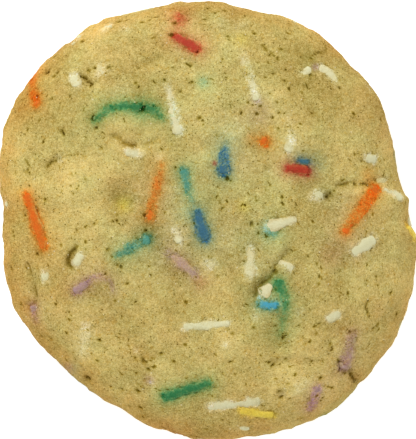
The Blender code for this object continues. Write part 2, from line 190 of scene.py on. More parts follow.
# The other pores: the most in a chain, how far they lie along it and beside it on a ball of
# radius 1, how far they are drawn out, and how dark their painted shade is; slits are longer
# and narrower.
CHAIN_MOST = 6
CHAIN_RUN = 0.08
CHAIN_STRAY = 0.09
PORE_REACH = 0.12
PORE_DARKS = (0.25, 0.9)
SLIT_LENGTHENING = 2.4
SLIT_NARROWING = 0.7
# The least half width for a middling one of 1, to which up to 1 is added.
PORE_LEAST = 0.7
# For their half width: how ragged pores are, how deep, where their wall starts and how wide it is,
# how far they are felt, and how strong the faint shade round them is and how far it goes. Then how
# much farther the shade is looked for.
PORE_RAGGEDNESS = 0.9
PORE_DEPTH = 1.1
PORE_WALL_START = 0.5
PORE_WALL_WIDTH = 0.8
PORE_FELT = 1.4
PORE_SHADE = 0.16
PORE_SHADE_SIZE = 2.4
PORE_SHADE_REACH = 0.3

# Noises, of each layer its height, size and offset: the crumb's fine grain, what is added to it at
# the side, the torn hem round the sprinkles, and the ragged edge of their dye.
FINE_GRAIN = ((0.15, 1.7, (3.0, 1.0, 8.0)), (0.12, 0.8, (5.0, 5.0, 1.0)))
SIDE_GRAIN = ((0.22, 2.4, (1.0, 4.0, 2.0)), (0.08, 1.1, (8.0, 2.0, 6.0)))
TORN_HEM = ((1.0, 1.1, (6.0, 0.0, 3.0)), (0.8, 0.45, (2.0, 5.0, 4.0)))
DYE_EDGE = ((0.30, 0.6, (9.0, 2.0, 2.0)), (0.15, 0.3, (1.0, 8.0, 3.0)))
# The side's grain fades out up the dome between these levels.
SIDE_GRAIN_LEVELS = (5.0, 8.0)
# The hem: its half width, how far it stands out, how much its torn parts add, and how dark the
# painted shade in its gaps is and between which of the noise's depths they open.
HEM_WIDTH = 0.3
HEM_RISE = 0.02
HEM_TEAR = 0.20
HEM_GAP_SHADE = 0.2
HEM_GAPS = (0.3, 0.6)

SPRINKLE_KINDS = ("orange", "red", "green", "blue", "sky_blue", "teal", "lavender", "yellow", "white")

# Sprinkles in the top: x and y of the middle, direction, length, width at the start and the end,
# and how much of its colour shows through the crumb at its start, middle and end, from 0, buried,
# to 1, clear.
STRAIGHT_SPRINKLES = {
    "orange": (
        (-25.8, -0.3, 288, 9.2, 1.5, 1.9, 1, 0.95, 0.8),
        (-7.8, 4, 257, 9.1, 1.3, 1.5, 0.3, 0.6, 0.8),
        (22.7, 1.3, 234, 8.9, 1.8, 1.3, 1, 0.95, 1),
        (-25.8, 19.4, 276, 5.6, 2, 1.5, 0.45, 0.4, 1),
        (8.2, 11.6, 354, 1.7, 1.2, 1.6, 0.5, 1, 1),
    ),
    "red": (
        (-3.2, 26.3, 329, 4.5, 1.3, 1.4, 0.9, 1, 0.9),
        (-4.3, 30.2, 345, 2.2, 1.3, 1.1, 0.1, 0.35, 0.1),
        (13.3, 7.4, 352, 3.8, 1.4, 1.3, 0.9, 1, 1),
    ),
    "green": (
        (-3.1, -25.5, 17, 7.4, 1.4, 1.4, 1, 1, 0.7),
    ),
    "blue": (
        (2.4, 9.1, 267, 4.8, 1, 1.8, 0.3, 0.8, 1),
        (-1, -1.1, 287, 4.8, 1.8, 1.7, 1, 1, 1),
        (14.2, 8.6, 346, 2, 0.8, 1, 0.8, 1, 0.8),
    ),
    "sky_blue": (
        (9, -12.8, 355, 3.1, 1.5, 1.5, 0.8, 1, 1),
    ),
    "teal": (
        (-3, 4.7, 284, 5.8, 1.6, 0.8, 1, 0.7, 0.1),
        (-11.3, -4.2, 28, 6.1, 1.3, 1.5, 0.4, 0.8, 1),
        (9.5, -1.9, 345, 2, 1.3, 1, 0.2, 0.3, 0.2),
    ),
    "lavender": (
        (-19, -10.2, 35, 2.9, 1.4, 1.4, 1, 1, 0.9),
        (-4, -6.6, 321, 6.2, 1.6, 1.6, 0.45, 0.6, 0.55),
        (-25.9, -14.2, 282, 2.9, 1.3, 1.1, 0.9, 0.6, 0.4),
        (21, -19.6, 257, 6.6, 1.7, 1.9, 0.5, 0.6, 0.7),
        (15.8, -26.8, 251, 4.1, 1.5, 1.4, 1, 1, 0.8),
    ),
    "yellow": (
        (7.3, -29, 352, 5.6, 1.4, 1.4, 0.9, 1, 1),
        (30.7, -1.9, 279, 2.7, 1.7, 1.7, 0.9, 1, 0.9),
    ),
    "white": (
        (-5.3, 16.7, 283, 8.8, 1.3, 1.9, 0.55, 0.85, 1),
        (6.1, 21.7, 286, 9, 1.7, 1.7, 0.3, 0.5, 0.95),
        (-0.2, -15.8, 5, 7.4, 1.3, 1.2, 0.95, 0.9, 0.9),
        (3.9, -27.6, 6, 8.4, 1.6, 1.5, 0.95, 0.95, 0.85),
        (6.3, -6.2, 266, 5.2, 1.5, 1.9, 0.5, 0.65, 0.75),
        (23.2, -4, 33, 4.5, 1.6, 1.7, 1.2, 1.5, 1.3),
        (27.6, 3.9, 333, 3.7, 1, 1.9, 0.7, 0.8, 1),
        (-11, 9.8, 348, 3, 1.4, 1.3, 1, 1, 0.6),
        (11.1, -0.6, 16, 5.2, 2.2, 1, 0.9, 1.1, 0.8),
        (11.6, -6.9, 335, 2.8, 1.1, 1.4, 0.6, 1, 0.9),
        (-4.6, -2.5, 294, 2.7, 1.2, 1.5, 0.6, 0.8, 1),
        (18.7, -14.5, 28, 2.7, 1.5, 1.5, 0.95, 0.9, 0.85),
        (14.6, 22.1, 28, 2.4, 1.5, 1.6, 0.5, 0.9, 0.9),
        (-15.9, 22, 238, 2.6, 2, 1.8, 0.5, 0.7, 0.5),
        (-15.1, 28.7, 32, 2, 1.2, 1.2, 0.5, 0.8, 0.7),
        (-19.8, 26.8, 43, 2.4, 1.4, 1.4, 0.8, 0.8, 0.7),
        (-19.8, 20.6, 295, 2.2, 1.6, 1.5, 0.9, 0.9, 1),
        (-19.3, -6, 240, 2.3, 1.4, 1.5, 1, 1, 1),
        (-24.4, -8.5, 276, 2.1, 1.5, 1.5, 0.7, 0.9, 0.7),
        (24.3, 9, 342, 2.3, 1.7, 1.7, 1.1, 1.2, 1.1),
        (8.7, -10.5, 51, 2.8, 2, 1.4, 0.9, 1, 0.8),
        (16.2, 3.5, 9, 2.4, 1.6, 1.5, 0.6, 0.8, 0.8),
        (26.2, 5.8, 6, 1.9, 1.2, 1.2, 0.2, 0.4, 0.4),
        (24.2, 19.9, 328, 2, 1.2, 1.2, 0.3, 0.4, 0.3),
        (5.4, -31.3, 355, 1.9, 1, 1, 0.5, 0.9, 0.8),
        (0.4, -6.7, 354, 1.6, 1.6, 1.6, 0.5, 0.6, 0.5),
        (-18.4, -18.2, 267, 6, 1.8, 1.7, 0.3, 0.2, 0.1),
        (13.5, -25.3, 57, 4.5, 1.6, 1.6, 0.2, 0.3, 0.2),
        (-30.2, 2.2, 275, 1.2, 1.1, 1, 0.7, 0.9, 0.7),
    ),
}

# Sprinkles that bent as they sank: widths at the start and the end, how much shows, points along it.
BENT_SPRINKLES = {
    "green": (
        ((1, 1.5), (0.4, 0.75, 0.9), ((-16.8, 14.8), (-14.8, 16.4), (-12.5, 16.8), (-10.5, 16.6))),
        ((1.4, 1.1), (0.8, 0.7, 0.3), ((-9, 16.5), (-8, 16.2), (-6.9, 15.2))),
        ((1.5, 1), (0.9, 0.3, 0.1), ((10.5, -9.7), (11.5, -11.8), (11.4, -14.3), (10.6, -17.2))),
    ),
    "lavender": (
        ((1.1, 1), (0.5, 0.3, 0.3), ((-17.6, -9), (-16.2, -8.6), (-14.6, -9.2), (-14.2, -10.7))),
    ),
    "white": (
        ((1.8, 1), (1, 0.8, 0.4), ((17, 22.5), (18.1, 21.9), (19.2, 20.2))),
        ((1.2, 1.4), (0.1, 0.3, 0.9), ((11.9, 16.7), (12.5, 12.3), (12, 10.3))),
    ),
}

# Broad patches of the bake's tone, and of painted light and shade: x, y, radius, how pale and how warm.
BAKE_AND_SHADE_PATCHES = (
    (11, 8, 4, 0.26, -0.3), (8.6, 4, 3, 0.14, -0.4), (-4.5, -7.2, 3, -0.12, -0.1),
    (0.5, 18, 4, 0.04, 0), (4.4, 26.2, 3.2, 0.04, 0), (12.6, -21.5, 4.5, 0.12, 0),
    (-13.5, 8, 4, 0.12, 0), (-27, 5, 4, 0.1, 0), (25.5, 5, 4, 0.1, 0), (-25, -11, 5, 0.08, 0.2),
    (8, -1, 4, 0, -0.5), (-25, -6, 3.4, 0.17, 0.3), (-21, 1.3, 3, 0.08, 0), (-16.5, 11, 4.5, 0.14, 0),
    (-19.5, 20.5, 4, -0.08, 0), (-12.6, 22.3, 3, 0.08, 0), (-29.5, 7.5, 3, -0.14, 0),
    (-29.5, -11, 3, -0.1, 0), (12.8, 23, 3, -0.14, 0), (17.5, 19, 4.5, -0.24, 0),
    (24, 17, 4.5, -0.2, 0.3), (15.5, 13.5, 4, -0.08, 0), (26, 10, 2.5, 0.12, 0.2),
    (4.5, 31.5, 5, -0.26, 0), (0, 22, 4, 0, -0.6), (-9, -4, 4.5, -0.24, -0.4),
    (-13.6, 4.6, 2, -0.16, 0.3), (21.5, 2.6, 4, -0.1, 0.2), (16.8, 22.4, 2, -0.2, 0),
    (10, -5, 2.4, -0.14, -0.3), (8.4, -10.5, 3, -0.18, -0.3), (5, -5, 4, 0, -0.4),
    (17, -7, 2.5, 0.12, 0), (21, -15.5, 2.6, 0.12, 0.2), (26, -14, 3, 0, 0.4), (3, 14, 7, 0, -0.5),
    (-2, 3, 6, 0, -0.5), (18, 4, 7, 0, -0.3), (-13, -11, 5, 0, -0.2), (-20, -14, 10, -0.04, 0.1),
    (-15, -11.5, 4, -0.12, 0.2), (-31, 1, 3.5, -0.26, 0), (-16, -1, 7, 0.09, 0),
    (-6, -19.6, 3.5, 0.08, 0), (2, -19, 4, 0.12, 0), (-3, -25, 7, 0.04, 0.2), (8, -28, 4, 0.1, 0),
    (19, -24, 7, 0.08, 0.3), (6, -32, 5, -0.22, 0.4), (-5, -32, 4, -0.2, 0.4),
)

# How much paler painted light leaves a swell of 1 mm, and darker painted shade a hollow or
# crease as deep, and how far and over what size the patches' outlines wander.
SWELL_LIGHT_AND_SHADE = 0.36
PATCH_WANDER = 2.0
PATCH_WANDER_SIZE = 3.0
# Browning: the direction where the rim is browner, how much farther in it reaches there, how
# strong it is at the rim and how much that side adds, and how far and over what size its edge
# wanders. Then the shares of the radius and the levels between which it comes up at the rim and
# goes down to the underside; on the low side it is partly painted shade.
BROWNER_SIDE = 195.0
BROWNER_REACH = 0.02
BROWN_STRENGTHS = (0.9, 0.2)
BROWN_WANDER = 0.03
BROWN_WANDER_SIZE = 3.0
BROWN_RIM = (0.90, 1.01)
FOOT_BROWN_AND_SHADE = (0.4, 2.4)

# Stains, and pale spots where a sprinkle lies under the crumb: x, y, radius, how much shows.
STAINS = {
    "dull_crumb": (
        (-8, 3.6, 4, 0.65), (-6, -3, 5, 0.45), (20.5, -3, 4, 0.7), (21, 2, 3, 0.4), (5, 12, 5, 0.45),
        (5, -3, 5, 0.4),
    ),
    "teal": ((-0.7, 20.4, 0.9, 0.25), (9.4, -1.6, 1.2, 0.3), (16.4, 8.4, 1.6, 0.12)),
    "blue": ((-20, -22.6, 1.3, 0.1),),
    "red": ((-4.2, 29.6, 1, 0.2), (-1.2, -9.7, 1.2, 0.1), (18.4, -5.4, 2, 0.06), (1, 8.3, 0.3, 0.7)),
    "orange": (
        (6.6, 11.9, 1.1, 0.18), (23.9, 6.8, 1.2, 0.14), (-21.9, -10.8, 2.2, 0.07),
        (-17.4, -21.9, 2.2, 0.07),
    ),
    "yellow": ((-12.6, 2.1, 1.2, 0.55), (5.1, 26.8, 1.2, 0.3), (5.2, 1.7, 0.9, 0.35)),
    "green": ((-12.8, 2.6, 1.6, 0.06),),
    "lavender": (
        (7.8, 16, 2, 0.18), (7.2, 17.8, 0.6, 0.4), (16, 22.7, 0.5, 0.6), (-8.8, -24, 0.7, 0.4),
        (-21, -22.4, 0.9, 0.3),
    ),
    "white": (
        (-22.2, 9, 0.6, 0.8), (-7.3, 9.2, 0.7, 0.5), (-12.3, 28.4, 0.7, 0.7), (-10.7, -19.6, 0.5, 0.5),
        (-8.4, -24.3, 0.5, 0.6), (2.6, -18.7, 0.6, 0.7), (13.7, -13.8, 0.6, 0.6), (7, -14.6, 0.5, 0.5),
        (-18.3, -16.6, 1.4, 0.4), (-18.6, -19.6, 1.3, 0.35), (-30.2, 2.2, 0.6, 0.8),
        (-12.9, 19.4, 1.5, 0.25), (16.6, 3.4, 1.2, 0.5), (5, 28.6, 1.3, 0.4), (2, 29.3, 1.3, 0.3),
        # The broad faint white one at 7.6, -7 is painted greyish shade on the slope beside the fold.
        (7.6, -7, 2.2, 0.16), (26, 5.8, 0.9, 0.3), (11.2, -26.2, 0.5, 0.45),
    ),
}

# Sprinkles in the side and in the underside, where no particular one is seen.
SIDE_COLOURS = ("white", "white", "orange", "white", "white", "red", "yellow", "white",
                "white", "blue", "lavender", "teal", "green", "white")
SIDE_LEVELS = (1.4, 3.0)
SIDE_LENGTHS = (2.2, 5.0)
SIDE_SLANT = 22.0
SIDE_STRAY = 0.35
SIDE_RADIUS = 32.0
SIDE_SHOW = 0.8
SIDE_SEED = 27
UNDERSIDE_COUNT = 16
UNDERSIDE_TURN = 2.4
UNDERSIDE_SPREAD = 0.85
UNDERSIDE_REACHES = (1.0, 3.4)
UNDERSIDE_SHOWS = (0.7, 0.6, 0.5)
UNDERSIDE_SEED = 5
HIDDEN_WIDTHS = (1.35, 1.35)

# The rods' shape: the share of its width that a rounded end takes off the straight length, the
# height above and the depth below the middle line, how far that stands out, and how much the
# width wanders over what size.
END_SHARE = 0.8
CROWN_HEIGHT = 0.24
KEEL_DEPTH = 0.5
PROUD_WHEN_BURIED = -0.20
PROUD_WHEN_CLEAR = 0.16
WIDTH_WANDER = 0.35
WANDER_SIZE = 1.5
# A rounded end: how far past the last station, and how wide there, as shares of the half width;
# and how far past the last ring its pole is.
ROUND_END = ((0.46, 0.40), (0.36, 0.66), (0.18, 0.88), (0.0, 1.0))
POLE_REACH = 0.05
SPRINKLE_SIDES = 16
# How much a rod's lumps widen it, over what size, and its bumps, of each their height and size.
LUMP_RISE = 0.22
LUMP_SIZE = 0.9
ROD_BUMPS = ((0.06, 0.7), (0.05, 0.33))
# The film of crumb over a rod: from what share of its half width out, how patchy, over what size,
# and how much of the colour shows at least.
FILM_START = 0.35
FILM_PATCHINESS = 0.5
FILM_SIZE = 0.5
LEAST_SHOW = 0.15
STATION_STEP = 0.4

# Dye in the crumb: how far from a sprinkle it is looked for, how strong it is over one and beside
# one, and the same for the kinds that only make the crumb paler; from how far inside a sprinkle's
# edge to how far outside it fades, and over what size it is patchy; then how far its halo spreads,
# how sharply that ends, and the most dye anywhere.
DYE_REACH = 5.0
DYE_STRENGTHS = (0.68, 0.28)
FAINT_DYES = ("white", "yellow")
FAINT_STRENGTHS = (0.95, 0.12)
DYE_FADE = (-0.50, 0.25)
DYE_PATCH_SIZE = 1.3
HALO_SIZE = 1.8
HALO_POWER = 1.5
MOST_DYE = 0.97
# How thick the layer is, above and below a sprinkle's middle line, that its dye can reach, and the
# gap that stands for out of reach.
DYE_LAYER = 1.6
FAR = 99.0

# Grains of sugar: the half widths from the least to the most, and how level the crumb is that they
# lie on, from 0, upright, to 1.
SUGAR_SIZES = (0.05, 0.12)
SUGAR_SLOPE = 0.5

# Rays for the top and the side start outside the cookie; where one misses, the nearest surface to
# a point at this level is taken.
RAY_HEIGHT = 30.0
RAY_DISTANCE = 60.0
MISS_LEVEL = 5.0


def settings():
    """The values that the panel shows."""
    return bpy.context.scene.cookie


# ---------------------------------------------------------------- the cookie's form

def outline_radius(directions, form):
    """The distance from the middle to the edge in each direction, given in radians."""
    degrees = numpy.degrees(directions)
    radius = form.mean_radius / MM
    radius = radius + form.oval_rise / MM * numpy.cos(2.0 * (directions - form.oval_direction))
    for middle, half_width, height in OUTLINE_SWELLS:
        away = (degrees - middle + 180.0) % 360.0 - 180.0
        radius = radius + height * bell(away, half_width)
    return radius


def profile(form):
    """Points down the profile, as shares of the outline's radius and levels, and the share of
    the surface, from 0 at the top's middle to 1 at the underside's, that lies before each."""
    widest = form.widest_level / MM
    quarter = numpy.linspace(0.0, math.pi / 2.0, CURVE_STEPS)
    flat = numpy.linspace(FLAT_SHARE, 0.0, UNDERSIDE_STEPS)[1:]
    dome_share = numpy.sin(quarter) ** (2.0 / DOME_POWER)
    dome_level = widest + (form.height / MM - widest) * numpy.cos(quarter) ** (2.0 / EDGE_POWER)
    foot_share = FLAT_SHARE + (1.0 - FLAT_SHARE) * numpy.cos(quarter[1:])
    foot_level = widest * (1.0 - numpy.sin(quarter[1:]))
    shares = numpy.concatenate((dome_share, foot_share, flat))
    levels = numpy.concatenate((dome_level, foot_level, 0.0 * flat))
    length = numpy.hypot(numpy.diff(shares) * form.mean_radius / MM, numpy.diff(levels))
    area = length * (shares[1:] + shares[:-1])
    area[-len(flat):] *= UNDERSIDE_DETAIL
    before = numpy.concatenate(([0.0], numpy.cumsum(area)))
    return shares, levels, before / before[-1]


def over_profile(ball, form):
    """Points of a unit ball laid over the cookie's plain surface."""
    shares, levels, before = profile(form)
    surface_share = (1.0 - ball[:, 2]) / 2.0
    direction = numpy.arctan2(ball[:, 1], ball[:, 0])
    radius = numpy.interp(surface_share, before, shares) * outline_radius(direction, form)
    level = numpy.interp(surface_share, before, levels)
    return numpy.stack((radius * numpy.cos(direction), radius * numpy.sin(direction), level), axis=1)


def bell(distance, half_width):
    """1 at no distance, and an easy fall to nearly 0 at twice the half width."""
    return numpy.exp(-(distance / half_width) ** 2)


def heading(turn):
    """The level direction at an angle in radians."""
    return Vector((math.cos(turn), math.sin(turn), 0.0))


def distance_to_line(x, y, points):
    """The distance of each x and y to a line of straight runs through the points."""
    nearest = numpy.full(x.shape, numpy.inf)
    for (x0, y0), (x1, y1) in zip(points, points[1:]):
        run_x, run_y = x1 - x0, y1 - y0
        along = ((x - x0) * run_x + (y - y0) * run_y) / (run_x ** 2 + run_y ** 2)
        along = numpy.clip(along, 0.0, 1.0)
        nearest = numpy.minimum(nearest, numpy.hypot(x - x0 - along * run_x, y - y0 - along * run_y))
    return nearest


def waves(places, size, offset):
    """Smooth noise at each place, whose bumps are about so large. Each use has its own offset."""
    shift = Vector(offset)
    return numpy.array([noise.noise(Vector(place) / size + shift) for place in places])


def layered(places, layers):
    """The sum of several noises, of each its height, size and offset."""
    return sum(height * waves(places, size, offset) for height, size, offset in layers)


def relief(places, form):
    """How far the baked surface stands out at each place: humps and lumps, less the creases."""
    rise = form.hump_rise / MM * waves(places, form.hump_size / MM, (0.0, 0.0, 0.0))
    rise += form.lump_rise / MM * waves(places, form.lump_size / MM, (7.0, 3.0, 5.0))
    x, y = places[:, 0], places[:, 1]
    for half_width, depth, points in CREASES:
        rise -= depth * bell(distance_to_line(x, y, points), half_width)
    for hollow_x, hollow_y, half_width, depth in HOLLOWS:
        rise -= depth * bell(numpy.hypot(x - hollow_x, y - hollow_y), half_width)
    return rise


def smooth_step(values, low, high):
    """0 below low, 1 above high, and an easy curve between."""
    share = numpy.clip((values - low) / (high - low), 0.0, 1.0)
    return share * share * (3.0 - 2.0 * share)


def vertex_places(bm):
    """The bmesh's vertices as an array, one row each."""
    return numpy.array([vertex.co[:] for vertex in bm.verts])


def vertex_normals(bm):
    """The bmesh's vertex normals as an array, one row each."""
    bm.normal_update()
    return numpy.array([vertex.normal[:] for vertex in bm.verts])


def move_to(bm, places):
    """Puts the bmesh's vertices at the places."""
    for vertex, place in zip(bm.verts, places.tolist()):
        vertex.co = place


def plain_bmesh(form, subdivisions):
    """A ball of even triangles laid over the cookie's plain surface, in millimetres."""
    bm = bmesh.new()
    bmesh.ops.create_icosphere(bm, subdivisions=subdivisions, radius=1.0)
    move_to(bm, over_profile(vertex_places(bm), form))
    return bm


def raised(places, normals, rise, form):
    """The places moved out along their normals, less so near the flat underside."""
    lift = numpy.clip(places[:, 2] / (form.widest_level / MM), 0.0, 1.0)
    return places + normals * (rise * lift)[:, None]


def bed_tree(form, baked=True):
    """The baked surface without its fine grain, or the plain one, for laying things on it."""
    bm = plain_bmesh(form, BED_SUBDIVISIONS)
    places = vertex_places(bm)
    if baked:
        move_to(bm, raised(places, vertex_normals(bm), relief(places, form), form))
    bm.normal_update()
    tree = BVHTree.FromBMesh(bm)
    bm.free()
    return tree


# ---------------------------------------------------------------- where the sprinkles lie

def on_top(bed, x, y):
    """The bed's surface under x and y, or the nearest edge of it, and its outward normal."""
    place, normal, _, _ = bed.ray_cast(Vector((x, y, RAY_HEIGHT)), Vector((0.0, 0.0, -1.0)))
    if place is None:
        place, normal, _, _ = bed.find_nearest(Vector((x, y, MISS_LEVEL)))
    return place, normal


def on_side(bed, turn, level):
    """The bed's side in the direction turn, in radians, at a level, and its outward normal."""
    outwards = heading(turn)
    start = outwards * RAY_DISTANCE + Vector((0.0, 0.0, level))
    place, normal, _, _ = bed.ray_cast(start, -outwards)
    return place, normal


class Sprinkle:
    """One sprinkle: its kind, and at stations along its line the middles, the surface's normals,
    the half widths and how much of its colour shows."""

    def __init__(self, kind, widths, surface, shows):
        self.kind = kind
        self.middles = []
        self.normals = []
        self.half_widths = []
        self.shows = []
        places = smooth_line([place for place, _ in surface], STATION_STEP)
        last = len(places) - 1
        for number, place in enumerate(places):
            spot = number / last * (len(surface) - 1)
            index = min(int(spot), len(surface) - 2)
            normal = surface[index][1].lerp(surface[index + 1][1], spot - index).normalized()
            show = float(numpy.interp(number / last, (0.0, 0.5, 1.0), shows))
            proud = PROUD_WHEN_BURIED + (PROUD_WHEN_CLEAR - PROUD_WHEN_BURIED) * show
            width = float(numpy.interp(number / last, (0.0, 1.0), widths))
            self.middles.append(place + normal * (proud - CROWN_HEIGHT))
            self.normals.append(normal)
            wander = WIDTH_WANDER * noise.noise(place / WANDER_SIZE)
            self.half_widths.append(width / 2.0 * (1.0 + wander))
            self.shows.append(show)


def smooth_line(points, step):
    """Points about a step apart along a smooth curve through the given ones."""
    line = []
    for index in range(len(points) - 1):
        before = points[max(index - 1, 0)]
        here, there = points[index], points[index + 1]
        after = points[min(index + 2, len(points) - 1)]
        count = max(2, round((there - here).length / step))
        for number in range(count):
            t = number / count
            if len(points) == 2:
                line.append(here.lerp(there, t))
                continue
            line.append(0.5 * (2.0 * here + (there - before) * t
                               + (2.0 * before - 5.0 * here + 4.0 * there - after) * t * t
                               + (3.0 * here - before - 3.0 * there + after) * t ** 3))
    line.append(points[-1])
    return line


def top_sprinkles(bed):
    """The sprinkles that lie in the top."""
    for kind, rows in STRAIGHT_SPRINKLES.items():
        for x, y, direction, length, start_width, end_width, *shows in rows:
            half = (length - (start_width + end_width) / 2.0 * END_SHARE) / 2.0
            reach_x = math.cos(math.radians(direction)) * half
            reach_y = math.sin(math.radians(direction)) * half
            surface = [on_top(bed, x + side * reach_x, y + side * reach_y) for side in (-1, 1)]
            yield Sprinkle(kind, (start_width, end_width), surface, shows)
    for kind, rows in BENT_SPRINKLES.items():
        for widths, shows, points in rows:
            yield Sprinkle(kind, widths, [on_top(bed, x, y) for x, y in points], shows)


def side_sprinkles(bed):
    """The sprinkles in the side, evenly round it and each a little off."""
    draw = random.Random(SIDE_SEED)
    for number, kind in enumerate(SIDE_COLOURS):
        step = number + draw.uniform(-SIDE_STRAY, SIDE_STRAY)
        turn = math.radians(step * 360.0 / len(SIDE_COLOURS))
        level = draw.uniform(*SIDE_LEVELS)
        half = draw.uniform(*SIDE_LENGTHS) / 2.0
        slant = math.radians(draw.uniform(-SIDE_SLANT, SIDE_SLANT))
        swing = half * math.cos(slant) / SIDE_RADIUS
        climb = half * math.sin(slant)
        surface = [on_side(bed, turn - swing, level - climb), on_side(bed, turn + swing, level + climb)]
        yield Sprinkle(kind, HIDDEN_WIDTHS, surface, (SIDE_SHOW,) * 3)


def underside_sprinkles(form):
    """The sprinkles pressed flat into the underside."""
    draw = random.Random(UNDERSIDE_SEED)
    down = Vector((0.0, 0.0, -1.0))
    kinds = SIDE_COLOURS * 2
    for number in range(UNDERSIDE_COUNT):
        turn = number * UNDERSIDE_TURN
        away = form.mean_radius / MM * UNDERSIDE_SPREAD * math.sqrt((number + 0.5) / UNDERSIDE_COUNT)
        middle = heading(turn) * away
        slant = draw.uniform(0.0, math.pi)
        reach = heading(slant) * draw.uniform(*UNDERSIDE_REACHES)
        surface = [(middle - reach, down), (middle + reach, down)]
        yield Sprinkle(kinds[number], HIDDEN_WIDTHS, surface, UNDERSIDE_SHOWS)


def all_sprinkles(form):
    """Every sprinkle of the cookie."""
    bed = bed_tree(form)
    return [*top_sprinkles(bed), *side_sprinkles(bed), *underside_sprinkles(form)]


def gap_to_sprinkle(places, sprinkle):
    """How far each place is beside a sprinkle, 0 at its edge and less inside, and how much shows
    at the nearest station. Places out of its neighbourhood get the gap FAR."""
    middles = numpy.array([middle[:] for middle in sprinkle.middles])
    normals = numpy.array([normal[:] for normal in sprinkle.normals])
    gap = numpy.full(len(places), FAR)
    show = numpy.zeros(len(places))
    low, high = middles.min(axis=0) - DYE_REACH, middles.max(axis=0) + DYE_REACH
    close = numpy.nonzero(((places > low) & (places < high)).all(axis=1))[0]
    if not len(close):
        return gap, show
    spots = places[close]
    nearest = gap[close]
    shown = show[close]
    for index in range(len(middles) - 1):
        start, run = middles[index], middles[index + 1] - middles[index]
        along = numpy.clip(((spots - start) @ run) / (run @ run), 0.0, 1.0)
        offset = spots - start - along[:, None] * run
        above = offset @ normals[index]
        beside = numpy.linalg.norm(offset - above[:, None] * normals[index], axis=1)
        here, there = sprinkle.half_widths[index], sprinkle.half_widths[index + 1]
        beside = numpy.where(numpy.abs(above) < DYE_LAYER, beside - here - (there - here) * along, FAR)
        better = beside < nearest
        nearest[better] = beside[better]
        here, there = sprinkle.shows[index], sprinkle.shows[index + 1]
        shown[better] = (here + (there - here) * along)[better]
    gap[close] = nearest
    show[close] = shown
    return gap, show


# ---------------------------------------------------------------- materials

def arithmetic(operation):
    """An operator's method and its reflected form; each adds a Math node."""
    def plain(value, other):
        return value.recipe.node("ShaderNodeMath", {"operation": operation}, {0: value, 1: other})

    def reflected(value, other):
        return value.recipe.node("ShaderNodeMath", {"operation": operation}, {0: other, 1: value})

    return plain, reflected


class Value:
    """A number or colour that flows through a material; arithmetic on it adds Math nodes."""

    def __init__(self, recipe, socket):
        self.recipe = recipe
        self.socket = socket

    __add__, __radd__ = arithmetic("ADD")
    __sub__, __rsub__ = arithmetic("SUBTRACT")
    __mul__, __rmul__ = arithmetic("MULTIPLY")
    __pow__, __rpow__ = arithmetic("POWER")

    def clamped(self):
        """The value held between 0 and 1."""
        return self.recipe.node("ShaderNodeClamp", {}, {"Value": self})

    def between(self, low, high):
        """0 where the value is below low, 1 above high, and an easy curve between."""
        return self.recipe.node("ShaderNodeMapRange", {"interpolation_type": "SMOOTHSTEP"},
                                {"Value": self, "From Min": low, "From Max": high})


class Recipe:
    """A material being written."""

    def __init__(self, name):
        self.material = bpy.data.materials.new(name)
        self.material.use_nodes = True
        self.tree = self.material.node_tree
        self.shader = self.tree.nodes["Principled BSDF"]

    def node(self, kind, choices, inputs, output=0):
        """Adds a node: its settings first, then the values or links of its sockets."""
        node = self.tree.nodes.new(kind)
        for name, choice in choices.items():
            setattr(node, name, choice)
        for name, given in inputs.items():
            self.put(node.inputs[name], given)
        return Value(self, node.outputs[output])

    def put(self, socket, given):
        """Links a flowing value to a socket, or sets a plain one on it."""
        if isinstance(given, Value):
            self.tree.links.new(given.socket, socket)
        else:
            socket.default_value = given

    def surface(self, **inputs):
        """Feeds the shader; the names have underscores where the sockets have spaces."""
        for name, given in inputs.items():
            self.put(self.shader.inputs[name.replace("_", " ")], given)

    def place(self):
        """The place on the piece, in metres."""
        return self.node("ShaderNodeTexCoord", {}, {}, "Object")

    def grain(self, size, detail=2.0, rough=0.5):
        """Noise whose lumps are about so many millimetres, around 0 and mostly within a third."""
        inputs = {"Vector": self.place(), "Scale": 1.0 / (size * MM), "Detail": detail,
                  "Roughness": rough}
        return self.node("ShaderNodeTexNoise", {}, inputs) - 0.5

    def cells(self, size, output="Distance"):
        """Cell noise whose cells are about so many millimetres."""
        inputs = {"Vector": self.place(), "Scale": 1.0 / (size * MM)}
        return self.node("ShaderNodeTexVoronoi", {}, inputs, output)

    def channels(self, mixed):
        """The red, green and blue of a colour."""
        red = self.node("ShaderNodeSeparateColor", {}, {"Color": mixed})
        return [Value(self, socket) for socket in red.socket.node.outputs]

    def random_of_cells(self, size, channel=0):
        """A number from 0 to 1 for each cell, one of three that each cell has."""
        return self.channels(self.cells(size, "Color"))[channel]

    def stored(self, name, output="Fac"):
        """A value painted on the mesh's vertices."""
        return self.node("ShaderNodeAttribute", {"attribute_name": name}, {}, output)

    def mixed(self, share, first, second, blend="MIX"):
        """One colour mixed into another by a share."""
        inputs = {0: share, 6: first, 7: second}
        return self.node("ShaderNodeMix", {"data_type": "RGBA", "blend_type": blend}, inputs, 2)

    def dyed(self, base, dye, share):
        """A colour seen through a share of dye: each channel of the base is multiplied by the
        dye's, raised to the share, as in dye that soaks into dough."""
        parts = self.channels(dye) if isinstance(dye, Value) else dye
        inputs = dict(zip(("Red", "Green", "Blue"), [part ** share for part in parts]))
        filtered = self.node("ShaderNodeCombineColor", {}, inputs)
        return self.mixed(1.0, base, filtered, "MULTIPLY")

    def bump(self, height, distance):
        """A normal from a height of 0 to 1 that stands for so many millimetres."""
        return self.node("ShaderNodeBump", {}, {"Height": height, "Distance": distance * MM})


def opaque(rgb):
    """A colour of a socket from one of a panel's colours."""
    return (rgb[0], rgb[1], rgb[2], 1.0)


def over_crumb(rgb, finish):
    """What a colour is as a filter over the crumb's middle tone."""
    return [part * 2.0 / (light + dark)
            for part, light, dark in zip(rgb, finish.crumb_light, finish.crumb_dark)]


